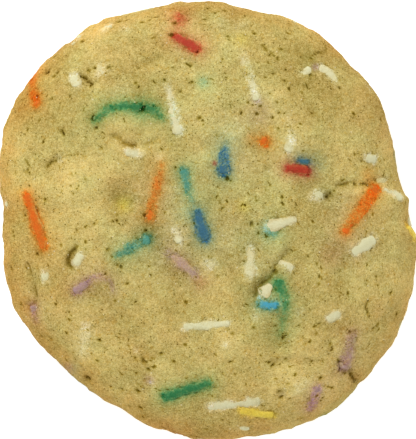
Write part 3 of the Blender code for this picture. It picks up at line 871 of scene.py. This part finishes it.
def crumb_colour(recipe, finish, paleness=0.0, warmth=0.0):
    """The crumb's colour without stains: sandy grains with darker gaps between them, the gaps partly
    painted shade, in broader patches, some of them the brown of honey, made paler or darker by the
    painted light and shade given."""
    grains = 0.3 * (0.5 - recipe.cells(0.35)) + 0.2 * (recipe.random_of_cells(0.35) - 0.5)
    sand = grains + 1.5 * recipe.grain(0.15, 1.0, 0.6) + 0.5 * recipe.grain(0.4, 1.0, 0.6)
    tone = 0.5 + sand + 0.4 * recipe.grain(1.3, 3.0, 0.6) + 0.9 * recipe.grain(6.0, 3.0, 0.6) + paleness
    base = recipe.mixed(tone.clamped(), opaque(finish.crumb_dark), opaque(finish.crumb_light))
    honeyed = 0.6 * recipe.grain(1.0, 3.0, 0.65).between(0.04, 0.24) + 1.3 * recipe.grain(0.25, 1.0, 0.7)
    base = recipe.dyed(base, over_crumb(finish.honey_crumb, finish), honeyed)
    warm = 0.5 + 2.0 * recipe.grain(3.6, 3.0, 0.6) + warmth
    return recipe.dyed(base, over_crumb(finish.warm_crumb, finish), warm)


def crumb_material(finish):
    """Soft baked crumb: golden and mottled, browned at the rim and below, on the low side partly
    painted shade; pale with painted light on its swells, with painted shade in its hollows,
    creases, cracks and pores, and with the sprinkles' dye bled into it."""
    recipe = Recipe("baked_crumb")
    base = crumb_colour(recipe, finish, recipe.stored("paleness"), recipe.stored("warmth"))
    # Browned at the rim and below, and on the low side partly painted shade.
    browning = finish.browning * (recipe.stored("browning") * (1.0 + 1.6 * recipe.grain(2.6, 3.0, 0.6)))
    base = recipe.dyed(base, over_crumb(finish.browned, finish), browning.clamped())

    # Specks of painted shade in the smallest pores, and the stored painted shade of the larger pores,
    # cracks, creases and hem gaps.
    ragged = 0.35 * recipe.grain(0.2, 2.0, 0.7)
    kept = (recipe.random_of_cells(0.45) + 0.9 * recipe.grain(4.0, 1.0)).between(0.72, 0.82)
    specks = (recipe.cells(0.45) + ragged).between(0.24, 0.15) * kept
    dark = (finish.specks * specks + recipe.stored("pit")).clamped()
    base = recipe.dyed(base, over_crumb(finish.pore, finish), dark)

    patchy = 1.0 + 2.2 * recipe.grain(0.35, 2.0, 0.7)
    base = recipe.dyed(base, recipe.stored("dye", "Color"), patchy)

    glint = recipe.cells(1.2).between(0.12, 0.06) * recipe.random_of_cells(1.2, 1).between(0.74, 0.82)
    base = recipe.mixed((0.6 * glint).clamped(), base, opaque(finish.sugar))

    height = 0.5 + 0.7 * recipe.grain(0.5, 3.0, 0.6) + recipe.grain(0.2, 1.0, 0.6) - 0.6 * specks
    rough = 0.8 + 0.4 * recipe.grain(0.8)
    recipe.surface(Base_Color=base, Roughness=rough, Normal=recipe.bump(height, finish.grain_depth / MM),
                   Specular_IOR_Level=0.04)
    return recipe.material


def sprinkle_material(kind, finish):
    """A baked sugar sprinkle: mottled like the crumb that films it, stained by its dye as far as
    it shows, and covered by its own colour, more evenly so where it is white."""
    recipe = Recipe(f"sprinkle_{kind}_sugar")
    cover, patchiness = (0.85, 0.8) if kind == "white" else (0.6, 1.4)
    patchy = recipe.grain(0.35, 2.0, 0.7) + 0.8 * recipe.grain(1.1, 2.0, 0.6)
    share = (recipe.stored("show") * (0.95 + patchiness * patchy)).clamped()
    colour = getattr(finish, kind)
    base = recipe.dyed(crumb_colour(recipe, finish), over_crumb(colour, finish), share)
    base = recipe.mixed(share * cover, base, opaque(colour))
    height = 0.5 + recipe.grain(0.4, 3.0, 0.6)
    recipe.surface(Base_Color=base, Roughness=0.85 - 0.3 * share, Specular_IOR_Level=0.12,
                   Normal=recipe.bump(height, finish.grain_depth / MM * 0.7))
    return recipe.material


def sugar_material(finish):
    """Small grains of sugar, whitish and a little glassy."""
    recipe = Recipe("sugar_grain")
    base = recipe.mixed(0.5 + recipe.grain(0.3), opaque(finish.sugar), opaque(finish.crumb_light))
    recipe.surface(Base_Color=base, Roughness=0.35)
    return recipe.material


def floor_material(stage):
    """A plain pale floor that glows faintly, so that shadows on it stay light."""
    recipe = Recipe("pale_floor")
    pale = opaque(stage.floor)
    base = recipe.mixed(0.5 + recipe.grain(40.0, 3.0), pale, opaque([0.985 * part for part in pale]))
    recipe.surface(Base_Color=base, Roughness=0.9, Specular_IOR_Level=0.1, Emission_Color=pale,
                   Emission_Strength=stage.floor_glow)
    return recipe.material


# ---------------------------------------------------------------- the crumb

class Pore:
    """A small hole in the crumb, round or drawn out: its middle, reach, half width and how dark
    its painted shade is.
    """

    def __init__(self, middle, reach, half_width, dark):
        self.middle = middle
        self.reach = reach
        self.half_width = half_width
        self.dark = dark

    def within(self, margin):
        """How far from its middle it is felt."""
        return self.reach.length + self.half_width * PORE_FELT + margin


def make_pores(form):
    """The marked pores, and others all over the cookie in short chains whose slits run one way."""
    plain = bed_tree(form, baked=False)
    pores = [Pore(on_top(plain, x, y)[0], Vector(), half_width, dark)
             for x, y, half_width, dark in MARKED_PORES]
    draw = random.Random(form.seed)

    def stray():
        return Vector([draw.gauss(0.0, 1.0) for _ in range(3)])

    ball = []
    runs = []
    for _ in range(form.chain_count):
        middle = stray().normalized()
        run = heading(draw.uniform(0.0, math.pi))
        for _ in range(min(CHAIN_MOST, round(draw.expovariate(1.0 / form.chain_length)) + 1)):
            ball.append((middle + run * draw.gauss(0.0, CHAIN_RUN) + stray() * CHAIN_STRAY).normalized())
            runs.append(run)
    for place, run in zip(over_profile(numpy.array(ball), form), runs):
        half_width = form.pore_size / MM * (PORE_LEAST + draw.random() ** 3)
        reach = draw.uniform(0.0, PORE_REACH)
        if draw.random() < form.slit_share:
            reach *= SLIT_LENGTHENING
            half_width *= SLIT_NARROWING
        pores.append(Pore(Vector(place), run * reach, half_width, draw.uniform(*PORE_DARKS)))
    return pores


def tree_of(places):
    """A search tree of the places."""
    tree = KDTree(len(places))
    for index, place in enumerate(places):
        tree.insert(place, index)
    tree.balance()
    return tree


def refine(bm, pores, sprinkles, longest, margin):
    """Cuts the edges that are longer than this and lie near pores, cracks and sprinkles."""
    places = vertex_places(bm)
    near = numpy.zeros(len(places), dtype=bool)
    x, y = places[:, 0], places[:, 1]
    upper = places[:, 2] > FINER_LEVEL
    for half_width, _, points in SHADED_CRACKS:
        near |= (distance_to_line(x, y, points) < half_width * FINER_CRACK + margin) & upper
    for sprinkle in sprinkles:
        gap, _ = gap_to_sprinkle(places, sprinkle)
        near |= numpy.abs(gap) < FINER_EDGE + margin
    tree = tree_of(places)
    for pore in pores:
        for _, index, _ in tree.find_range(pore.middle, pore.within(margin)):
            near[index] = True
    bm.verts.index_update()
    long_edges = [edge for edge in bm.edges
                  if near[edge.verts[0].index] and near[edge.verts[1].index]
                  and edge.calc_length() > longest]
    bmesh.ops.subdivide_edges(bm, edges=long_edges, cuts=1)
    bmesh.ops.triangulate(bm, faces=[face for face in bm.faces if len(face.verts) > 3])
    slivers = [face for face in bm.faces if face.calc_area() < SLIVER_AREA]
    bmesh.ops.rotate_edges(bm, edges=[max(face.edges, key=bmesh.types.BMEdge.calc_length)
                                      for face in slivers])


def crumb_bmesh(form, pores, sprinkles):
    """The plain surface, with finer triangles where pores, cracks and sprinkles are."""
    bm = plain_bmesh(form, CRUMB_SUBDIVISIONS)
    refine(bm, pores, sprinkles, longest=0.24, margin=0.16)
    refine(bm, pores, sprinkles, longest=0.14, margin=0.02)
    refine(bm, pores, (), longest=0.09, margin=-0.03)
    bm.verts.index_update()
    return bm


def paint_dye(places, sprinkles, finish, form):
    """The filter that the dye makes of each place of the crumb."""
    hues = numpy.zeros((len(places), 3))
    weight = numpy.zeros(len(places))
    ragged = layered(places, DYE_EDGE)
    uneven = 1.0 + waves(places, DYE_PATCH_SIZE, (1.0, 1.0, 6.0))

    def soak(kind, strength):
        filters = numpy.log(over_crumb(getattr(finish, kind), finish))
        hues[:] += strength[:, None] * filters
        weight[:] += strength

    for sprinkle in sprinkles:
        faint = sprinkle.kind in FAINT_DYES
        gap, show = gap_to_sprinkle(places, sprinkle)
        outside = numpy.clip(gap, 0.0, None)
        most_over, most_beside = FAINT_STRENGTHS if faint else DYE_STRENGTHS
        over = most_over * uneven * (1.0 - smooth_step(gap + ragged, *DYE_FADE))
        beside = most_beside * numpy.exp(-outside / (finish.dye_bleed / MM))
        strength = show * (over + beside)
        if not faint:
            strength = strength + finish.dye_halo * numpy.exp(-(outside / HALO_SIZE) ** HALO_POWER)
        soak(sprinkle.kind, numpy.where(gap < FAR, numpy.clip(strength, 0.0, MOST_DYE), 0.0))
    upper = places[:, 2] > form.widest_level / MM
    for kind, stains in STAINS.items():
        for x, y, radius, show in stains:
            away = numpy.hypot(places[:, 0] - x, places[:, 1] - y)
            soak(kind, show * bell(away, radius) * upper)
    return numpy.exp(hues / numpy.maximum(weight, 1.0)[:, None])


def crumb_rise(places, form, sprinkles, pores):
    """How far each place stands out with its fine grain, and how much painted shade darkens
    it in pores, cracks, creases and the hem's gaps.
    """
    hem = numpy.zeros(len(places))
    for sprinkle in sprinkles:
        gap, show = gap_to_sprinkle(places, sprinkle)
        hem = numpy.maximum(hem, show * bell(gap, HEM_WIDTH))
    side = 1.0 - smooth_step(places[:, 2], *SIDE_GRAIN_LEVELS)
    torn = layered(places, TORN_HEM)
    fine = layered(places, FINE_GRAIN) + side * layered(places, SIDE_GRAIN)
    rise = form.grain_rise * fine + hem * (HEM_RISE + HEM_TEAR * torn)
    pit = HEM_GAP_SHADE * hem * smooth_step(-torn, *HEM_GAPS)

    x, y = places[:, 0], places[:, 1]
    upper = smooth_step(places[:, 2], *CRACK_LEVELS)
    ragged = waves(places, RAG_SIZE, (0.0, 7.0, 0.0))
    broken = smooth_step(waves(places, CRACK_BREAK_SIZE, (3.0, 3.0, 0.0)), *CRACK_BREAKS)
    for half_width, dark, points in SHADED_CRACKS:
        width = half_width * (CRACK_WIDTHS[0] + CRACK_WIDTHS[1] * ragged)
        near = bell(distance_to_line(x, y, points) + CRACK_STRAY * ragged, width) * upper * broken
        rise -= CRACK_DEPTH * dark * near
        pit = numpy.maximum(pit, dark * near)
    tree = tree_of(places)
    for pore in pores:
        start = numpy.array(pore.middle - pore.reach)
        run = numpy.array(pore.reach * 2.0)
        length = run @ run
        for spot, index, _ in tree.find_range(pore.middle, pore.within(PORE_SHADE_REACH)):
            offset = numpy.array(spot) - start
            along = min(max((offset @ run) / length, 0.0), 1.0) if length > 0.0 else 0.0
            half_width = pore.half_width * (1.0 + PORE_RAGGEDNESS * ragged[index])
            gap = numpy.linalg.norm(offset - along * run) / half_width
            depth = 1.0 - min(max((gap - PORE_WALL_START) / PORE_WALL_WIDTH, 0.0), 1.0)
            rise[index] -= PORE_DEPTH * pore.half_width * depth
            shade = PORE_SHADE * bell(gap, PORE_SHADE_SIZE)
            pit[index] = max(pit[index], pore.dark * max(depth, shade))
    return rise, pit


def browning_and_shade_of(places, form):
    """How browned each place is: most at the rim's lower edge and under the cookie; the brown
    on the low side is partly painted shade.
    """
    direction = numpy.arctan2(places[:, 1], places[:, 0])
    share = numpy.hypot(places[:, 0], places[:, 1]) / outline_radius(direction, form)
    ragged = BROWN_WANDER * waves(places, BROWN_WANDER_SIZE, (4.0, 4.0, 4.0))
    towards = numpy.cos(direction - math.radians(BROWNER_SIDE))
    rim = smooth_step(share + ragged + BROWNER_REACH * towards, *BROWN_RIM)
    rim *= BROWN_STRENGTHS[0] + BROWN_STRENGTHS[1] * towards
    low = 1.0 - smooth_step(places[:, 2], *FOOT_BROWN_AND_SHADE)
    return numpy.maximum(rim, low)


def bake_and_shade_of(places, swell, form):
    """How pale each place is: the bake's patches, painted light on swells, painted shade in
    hollows and creases, and patches of painted light and shade; and how warm.
    """
    paleness = SWELL_LIGHT_AND_SHADE * swell
    warmth = numpy.zeros(len(places))
    x = places[:, 0] + PATCH_WANDER * waves(places, PATCH_WANDER_SIZE, (2.0, 6.0, 1.0))
    y = places[:, 1] + PATCH_WANDER * waves(places, PATCH_WANDER_SIZE, (5.0, 1.0, 7.0))
    for patch_x, patch_y, radius, pale, warm in BAKE_AND_SHADE_PATCHES:
        near = bell(numpy.hypot(x - patch_x, y - patch_y), radius)
        near *= places[:, 2] > form.widest_level / MM
        paleness = paleness + pale * near
        warmth = warmth + warm * near
    return paleness, warmth


def store(mesh, name, values):
    """Paints a number on each vertex of the mesh."""
    attribute = mesh.attributes.new(name, "FLOAT", "POINT")
    attribute.data.foreach_set("value", values.astype(numpy.float32))


def finished_mesh(name, bm):
    """A mesh in metres from a bmesh in millimetres, shaded smooth."""
    bmesh.ops.scale(bm, vec=(MM, MM, MM), verts=bm.verts)
    mesh = bpy.data.meshes.new(name)
    bm.to_mesh(mesh)
    bm.free()
    mesh.shade_smooth()
    return mesh


def add_piece(name, mesh, material):
    """Shows a mesh as a piece of the cookie."""
    mesh.materials.append(material)
    piece = bpy.data.objects.new(name, mesh)
    bpy.context.scene.collection.objects.link(piece)
    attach(piece, BODY)
    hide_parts(NODE)
    return piece


def make_crumb(form, finish):
    """The crumb, with its relief, pores and cracks, and the marks that its material reads."""
    sprinkles = all_sprinkles(form)
    pores = make_pores(form)
    bm = crumb_bmesh(form, pores, sprinkles)
    places = vertex_places(bm)
    normals = vertex_normals(bm)
    swell = relief(places, form)
    rise, pit = crumb_rise(places, form, sprinkles, pores)
    dye = paint_dye(places, sprinkles, finish, form)
    settled = raised(places, normals, swell + rise, form)
    under = places[:, 2] < UNDERSIDE_LEVEL
    hollows = UNDERSIDE_RISE - UNDERSIDE_SHARE * (swell + rise)[under]
    settled[under, 2] = numpy.clip(hollows, 0.0, UNDERSIDE_MOST)
    move_to(bm, settled)
    mesh = finished_mesh("cookie_crumb", bm)
    store(mesh, "pit", pit)
    for name, marks in zip(("paleness", "warmth"), bake_and_shade_of(places, swell, form)):
        store(mesh, name, marks)
    store(mesh, "browning", browning_and_shade_of(places, form))
    attribute = mesh.attributes.new("dye", "FLOAT_COLOR", "POINT")
    dye = numpy.concatenate((dye, numpy.ones((len(dye), 1))), axis=1)
    attribute.data.foreach_set("color", dye.astype(numpy.float32).ravel())
    add_piece("cookie_crumb", mesh, crumb_material(finish))


# ---------------------------------------------------------------- the sprinkles

def rod_rings(sprinkle):
    """The rings of a rod: middle, normal, half width, share of it and show, with rounded ends."""
    rings = []
    middles = sprinkle.middles
    last = len(middles) - 1
    stations = zip(middles, sprinkle.normals, sprinkle.half_widths, sprinkle.shows)
    for index, (middle, normal, radius, show) in enumerate(stations):
        if 0 < index < last:
            rings.append((middle, normal, radius, 1.0, show))
            continue
        outwards = (middles[0] - middles[1] if index == 0 else middles[-1] - middles[-2]).normalized()
        steps = [(middle + outwards * radius * reach, normal, radius, share, show)
                 for reach, share in ROUND_END]
        rings += steps if index == 0 else steps[::-1]
    return rings


def add_rod(bm, layer, sprinkle, draw):
    """Adds a rod to the bmesh: a ball whose rings are drawn out along the sprinkle's line, with a
    low crown above and a deeper keel below."""
    rings = rod_rings(sprinkle)
    rows = len(rings) + 1
    made = bmesh.ops.create_uvsphere(bm, u_segments=SPRINKLE_SIDES, v_segments=rows, radius=1.0)
    seed = Vector((draw.uniform(0.0, 50.0), 0.0, 0.0))
    for vertex in made["verts"]:
        row = round(math.acos(max(-1.0, min(1.0, vertex.co.z))) / math.pi * rows)
        ring = min(max(row, 1), rows - 1) - 1
        middle, normal, radius, share, show = rings[ring]
        along = (rings[min(ring + 1, rows - 2)][0] - rings[max(ring - 1, 0)][0]).normalized()
        side = along.cross(normal).normalized()
        up = side.cross(along)
        turn = math.atan2(vertex.co.y, vertex.co.x)
        lump = 1.0 + LUMP_RISE * noise.noise((middle + side * math.cos(turn)) / LUMP_SIZE + seed)
        across = math.cos(turn) * share
        edge = max(abs(across), 1.0 - share)
        if row in (0, rows):
            place = middle + along * (radius * (-POLE_REACH if row == 0 else POLE_REACH))
            edge = 1.0
        else:
            tall = CROWN_HEIGHT if math.sin(turn) > 0.0 else KEEL_DEPTH
            place = middle + side * (across * radius * lump)
            place += up * (math.sin(turn) * tall * math.sqrt(share))
            place += up * sum(rise * noise.noise(place / size + seed) for rise, size in ROD_BUMPS)
        patch = FILM_PATCHINESS * noise.noise(place / FILM_SIZE - seed) * edge
        covered = max(0.0, edge - FILM_START) - patch
        vertex.co = place
        vertex[layer] = show * min(1.0, max(LEAST_SHOW, 1.0 - covered))


def make_sprinkles(form, finish):
    """One piece for each kind of sprinkle."""
    sprinkles = all_sprinkles(form)
    draw = random.Random(form.seed)
    for kind in SPRINKLE_KINDS:
        bm = bmesh.new()
        layer = bm.verts.layers.float.new("show")
        for sprinkle in sprinkles:
            if sprinkle.kind == kind:
                add_rod(bm, layer, sprinkle, draw)
        for vertex in bm.verts:
            vertex.co.z = max(vertex.co.z, 0.0)
        mesh = finished_mesh(f"sprinkles_{kind}", bm)
        add_piece(f"sprinkles_{kind}", mesh, sprinkle_material(kind, finish))


# ---------------------------------------------------------------- sugar and stage

def make_sugar(form, finish):
    """A few grains of sugar that lie open on the crumb."""
    crumb = bpy.data.objects["cookie_crumb"].data
    draw = random.Random(form.seed + 1)
    bm = bmesh.new()
    for index in draw.sample(range(len(crumb.vertices)), form.sugar_count):
        vertex = crumb.vertices[index]
        if vertex.normal.z < SUGAR_SLOPE:
            continue
        made = bmesh.ops.create_icosphere(bm, subdivisions=1, radius=1.0)["verts"]
        bmesh.ops.scale(bm, vec=[draw.uniform(*SUGAR_SIZES) for _ in range(3)], verts=made)
        bmesh.ops.translate(bm, vec=vertex.co / MM, verts=made)
    mesh = finished_mesh("sugar_grains", bm)
    add_piece("sugar_grains", mesh, sugar_material(finish))


def add_area_light(name, azimuth, elevation, distance, size, power):
    """A square soft light that looks at the cookie."""
    lamp = bpy.data.lights.new(name, "AREA")
    lamp.shape = "SQUARE"
    lamp.size = size
    lamp.energy = power
    light = bpy.data.objects.new(name, lamp)
    flat = math.cos(elevation) * distance
    light.location = (flat * math.cos(azimuth), flat * math.sin(azimuth), math.sin(elevation) * distance)
    light.rotation_euler = (-light.location).to_track_quat("-Z", "Y").to_euler()
    bpy.context.scene.collection.objects.link(light)


def make_stage(stage):
    """The floor, the lights and the camera."""
    scene = bpy.context.scene
    bm = bmesh.new()
    bmesh.ops.create_grid(bm, x_segments=8, y_segments=8, size=1.5)
    mesh = bpy.data.meshes.new("floor")
    bm.to_mesh(mesh)
    bm.free()
    mesh.materials.append(floor_material(stage))
    floor = bpy.data.objects.new("floor", mesh)
    scene.collection.objects.link(floor)

    world = bpy.data.worlds.new("soft_room")
    world.use_nodes = True
    background = world.node_tree.nodes["Background"]
    background.inputs["Color"].default_value = (1.0, 1.0, 1.0, 1.0)
    background.inputs["Strength"].default_value = stage.room_light
    scene.world = world
    add_area_light("key_light", stage.key_azimuth, stage.key_elevation, distance=0.5, size=0.2,
                   power=stage.key_power)
    scene.view_settings.view_transform = "Standard"
    scene.view_settings.look = "None"

    camera = bpy.data.cameras.new("camera")
    camera.sensor_fit = "HORIZONTAL"
    camera.sensor_width = 36.0
    camera.lens = stage.lens
    camera.clip_start = 0.01
    eye = bpy.data.objects.new("camera", camera)
    distance = stage.view_width * stage.lens / camera.sensor_width
    eye.location = (0.0, stage.view_y, distance + stage.view_level)
    scene.collection.objects.link(eye)
    scene.camera = eye


# ---------------------------------------------------------------- the panel

def length(name, description, millimetres):
    """A length that a user can set."""
    return FloatProperty(name=name, description=description, default=millimetres * MM, unit="LENGTH")


def angle(name, description, degrees):
    """A direction that a user can set."""
    return FloatProperty(name=name, description=description, default=math.radians(degrees),
                         subtype="ANGLE", unit="ROTATION")


def share(name, description, default):
    """A plain number that a user can set."""
    return FloatProperty(name=name, description=description, default=default, min=0.0)


def paint(name, description, *default):
    """A colour that a user can set."""
    return FloatVectorProperty(name=name, description=description, default=default,
                               subtype="COLOR", size=3, min=0.0, max=1.0)


class CookieForm(bpy.types.PropertyGroup):
    """The sizes of the cookie."""

    mean_radius: length("Mean Radius", "Half the width of the even cookie", 32.0)
    oval_rise: length("Oval Rise", "How far the long way stands out", 1.6)
    oval_direction: angle("Oval Direction", "Where the long way points", 118.0)
    height: length("Height", "The level of the dome's middle", 10.0)
    widest_level: length("Widest Level", "The level of the widest outline", 3.0)
    hump_size: length("Hump Size", "How wide the broad humps are", 11.0)
    hump_rise: length("Hump Rise", "How high the broad humps are", 0.55)
    lump_size: length("Lump Size", "How wide the small lumps are", 4.0)
    lump_rise: length("Lump Rise", "How high the small lumps are", 0.28)
    grain_rise: share("Grain Rise", "The share of the fine grain's height", 1.0)
    chain_count: IntProperty(name="Pore Chains", description="How many chains of pores", default=240)
    chain_length: share("Pores in a Chain", "About how many pores a chain has", 3.0)
    pore_size: length("Pore Size", "The half width of a middling pore", 0.095)
    slit_share: share("Slits", "The share of the pores that are drawn out", 0.3)
    sugar_count: IntProperty(name="Sugar Grains", description="How many grains lie open", default=110)
    seed: IntProperty(name="Seed", description="The start of the random draws", default=101)


class CookieFinish(bpy.types.PropertyGroup):
    """The colours and surface of the cookie."""

    crumb_light: paint("Light Crumb", "The crumb's lighter grains", 0.632, 0.548, 0.203)
    crumb_dark: paint("Dark Crumb", "The crumb's darker grains", 0.262, 0.203, 0.041)
    warm_crumb: paint("Warm Crumb", "The crumb's tone in its warmer patches", 0.472, 0.336, 0.103)
    honey_crumb: paint("Honey Crumb", "The crumb's tone in its honey-brown patches", 0.400, 0.285, 0.058)
    dull_crumb: paint("Dull Crumb", "The crumb where traces of many dyes dull it", 0.435, 0.370, 0.170)
    # Browned crumb and its strength: the brown on the low side is partly painted shade.
    browned: paint("Browned Crumb", "The crumb where it browns", 0.465, 0.290, 0.070)
    # The pores' colour is partly the crumb's darker brown and partly painted shade.
    pore: paint("Pores", "The dark of pores and cracks", 0.100, 0.068, 0.003)
    sugar: paint("Sugar", "Open grains of sugar", 0.70, 0.63, 0.42)
    browning: share("Browning", "How brown the rim is", 0.6)
    # Specks: painted shade in the smallest pores.
    specks: share("Specks", "How dark the smallest pores are", 0.5)
    grain_depth: length("Grain Depth", "The height of the finest grain", 0.1)
    dye_bleed: length("Dye Bleed", "How far dye has soaked into the crumb beside a sprinkle", 0.45)
    dye_halo: share("Dye Halo", "How much dye has spread far into the crumb", 0.08)
    orange: paint("Orange", "Orange sprinkles", 0.57, 0.114, 0.007)
    red: paint("Red", "Red sprinkles", 0.36, 0.034, 0.014)
    green: paint("Green", "Green sprinkles", 0.022, 0.145, 0.046)
    blue: paint("Blue", "Blue sprinkles", 0.034, 0.115, 0.172)
    sky_blue: paint("Sky Blue", "Sky blue sprinkles", 0.055, 0.280, 0.37)
    teal: paint("Teal", "Teal sprinkles", 0.060, 0.225, 0.165)
    lavender: paint("Lavender", "Lavender sprinkles", 0.320, 0.205, 0.20)
    yellow: paint("Yellow", "Yellow sprinkles", 0.67, 0.515, 0.06)
    white: paint("White", "White sprinkles", 0.58, 0.56, 0.335)


class CookieStage(bpy.types.PropertyGroup):
    """The floor, the light and the camera."""

    floor: paint("Floor", "The floor's colour", 0.92, 0.92, 0.92)
    floor_glow: share("Floor Glow", "How much light the floor gives of its own", 0.6)
    room_light: share("Room Light", "Even light from all round", 0.815)
    key_power: FloatProperty(name="Key Power", description="The soft main light", default=1.4,
                             unit="POWER")
    key_azimuth: angle("Key Azimuth", "Where the main light stands", 120.0)
    key_elevation: angle("Key Elevation", "How high the main light stands", 50.0)
    lens: FloatProperty(name="Lens", description="The camera's focal length, in millimetres",
                        default=600.0)
    view_width: length("View Width", "The width that the camera takes in", 62.4)
    view_level: length("View Level", "The level where it is that wide", 3.0)
    view_y: length("View Y", "How far the view is moved up the page", -0.07)


class CookieSettings(bpy.types.PropertyGroup):
    """All that a user can change."""

    form: PointerProperty(name="Form", description="The cookie's sizes", type=CookieForm)
    finish: PointerProperty(name="Finish", description="The cookie's colours", type=CookieFinish)
    stage: PointerProperty(name="Stage", description="The floor, light and camera", type=CookieStage)


class COOKIE_OT_crumb(bpy.types.Operator):
    """Add the baked crumb"""

    bl_idname = "cookie.crumb"
    bl_label = "Add Crumb"

    def execute(self, context):
        make_crumb(settings().form, settings().finish)
        return {"FINISHED"}


class COOKIE_OT_sprinkles(bpy.types.Operator):
    """Add the sprinkles, one object for each colour"""

    bl_idname = "cookie.sprinkles"
    bl_label = "Add Sprinkles"

    def execute(self, context):
        make_sprinkles(settings().form, settings().finish)
        return {"FINISHED"}


class COOKIE_OT_sugar(bpy.types.Operator):
    """Add the open grains of sugar to the crumb"""

    bl_idname = "cookie.sugar"
    bl_label = "Add Sugar"

    def execute(self, context):
        make_sugar(settings().form, settings().finish)
        return {"FINISHED"}


class COOKIE_OT_stage(bpy.types.Operator):
    """Add the floor, the lights and the camera"""

    bl_idname = "cookie.stage"
    bl_label = "Add Stage"

    def execute(self, context):
        make_stage(settings().stage)
        return {"FINISHED"}


class COOKIE_PT_panel(bpy.types.Panel):
    """The cookie's tools and values"""

    bl_idname = "COOKIE_PT_panel"
    bl_label = "Cookie"
    bl_space_type = "VIEW_3D"
    bl_region_type = "UI"
    bl_category = "Cookie"

    def draw(self, context):
        layout = self.layout
        for operator in OPERATORS:
            layout.operator(operator.bl_idname)
        for group in (settings().form, settings().finish, settings().stage):
            box = layout.box()
            for name in group.bl_rna.properties.keys():
                if name not in ("rna_type", "name"):
                    box.prop(group, name)


OPERATORS = (COOKIE_OT_crumb, COOKIE_OT_sprinkles, COOKIE_OT_sugar, COOKIE_OT_stage)
CLASSES = (CookieForm, CookieFinish, CookieStage, CookieSettings, *OPERATORS, COOKIE_PT_panel)


def register():
    """Registers the classes and the settings."""
    for cls in CLASSES:
        bpy.utils.register_class(cls)
    bpy.types.Scene.cookie = PointerProperty(type=CookieSettings)


def unregister():
    """Takes the settings and the classes away again."""
    del bpy.types.Scene.cookie
    for cls in reversed(CLASSES):
        bpy.utils.unregister_class(cls)


def main():
    """Builds everything, in order."""
    register()
    bpy.ops.cookie.stage()
    bpy.ops.cookie.crumb()
    bpy.ops.cookie.sprinkles()
    bpy.ops.cookie.sugar()


if __name__ == "__main__":
    main()
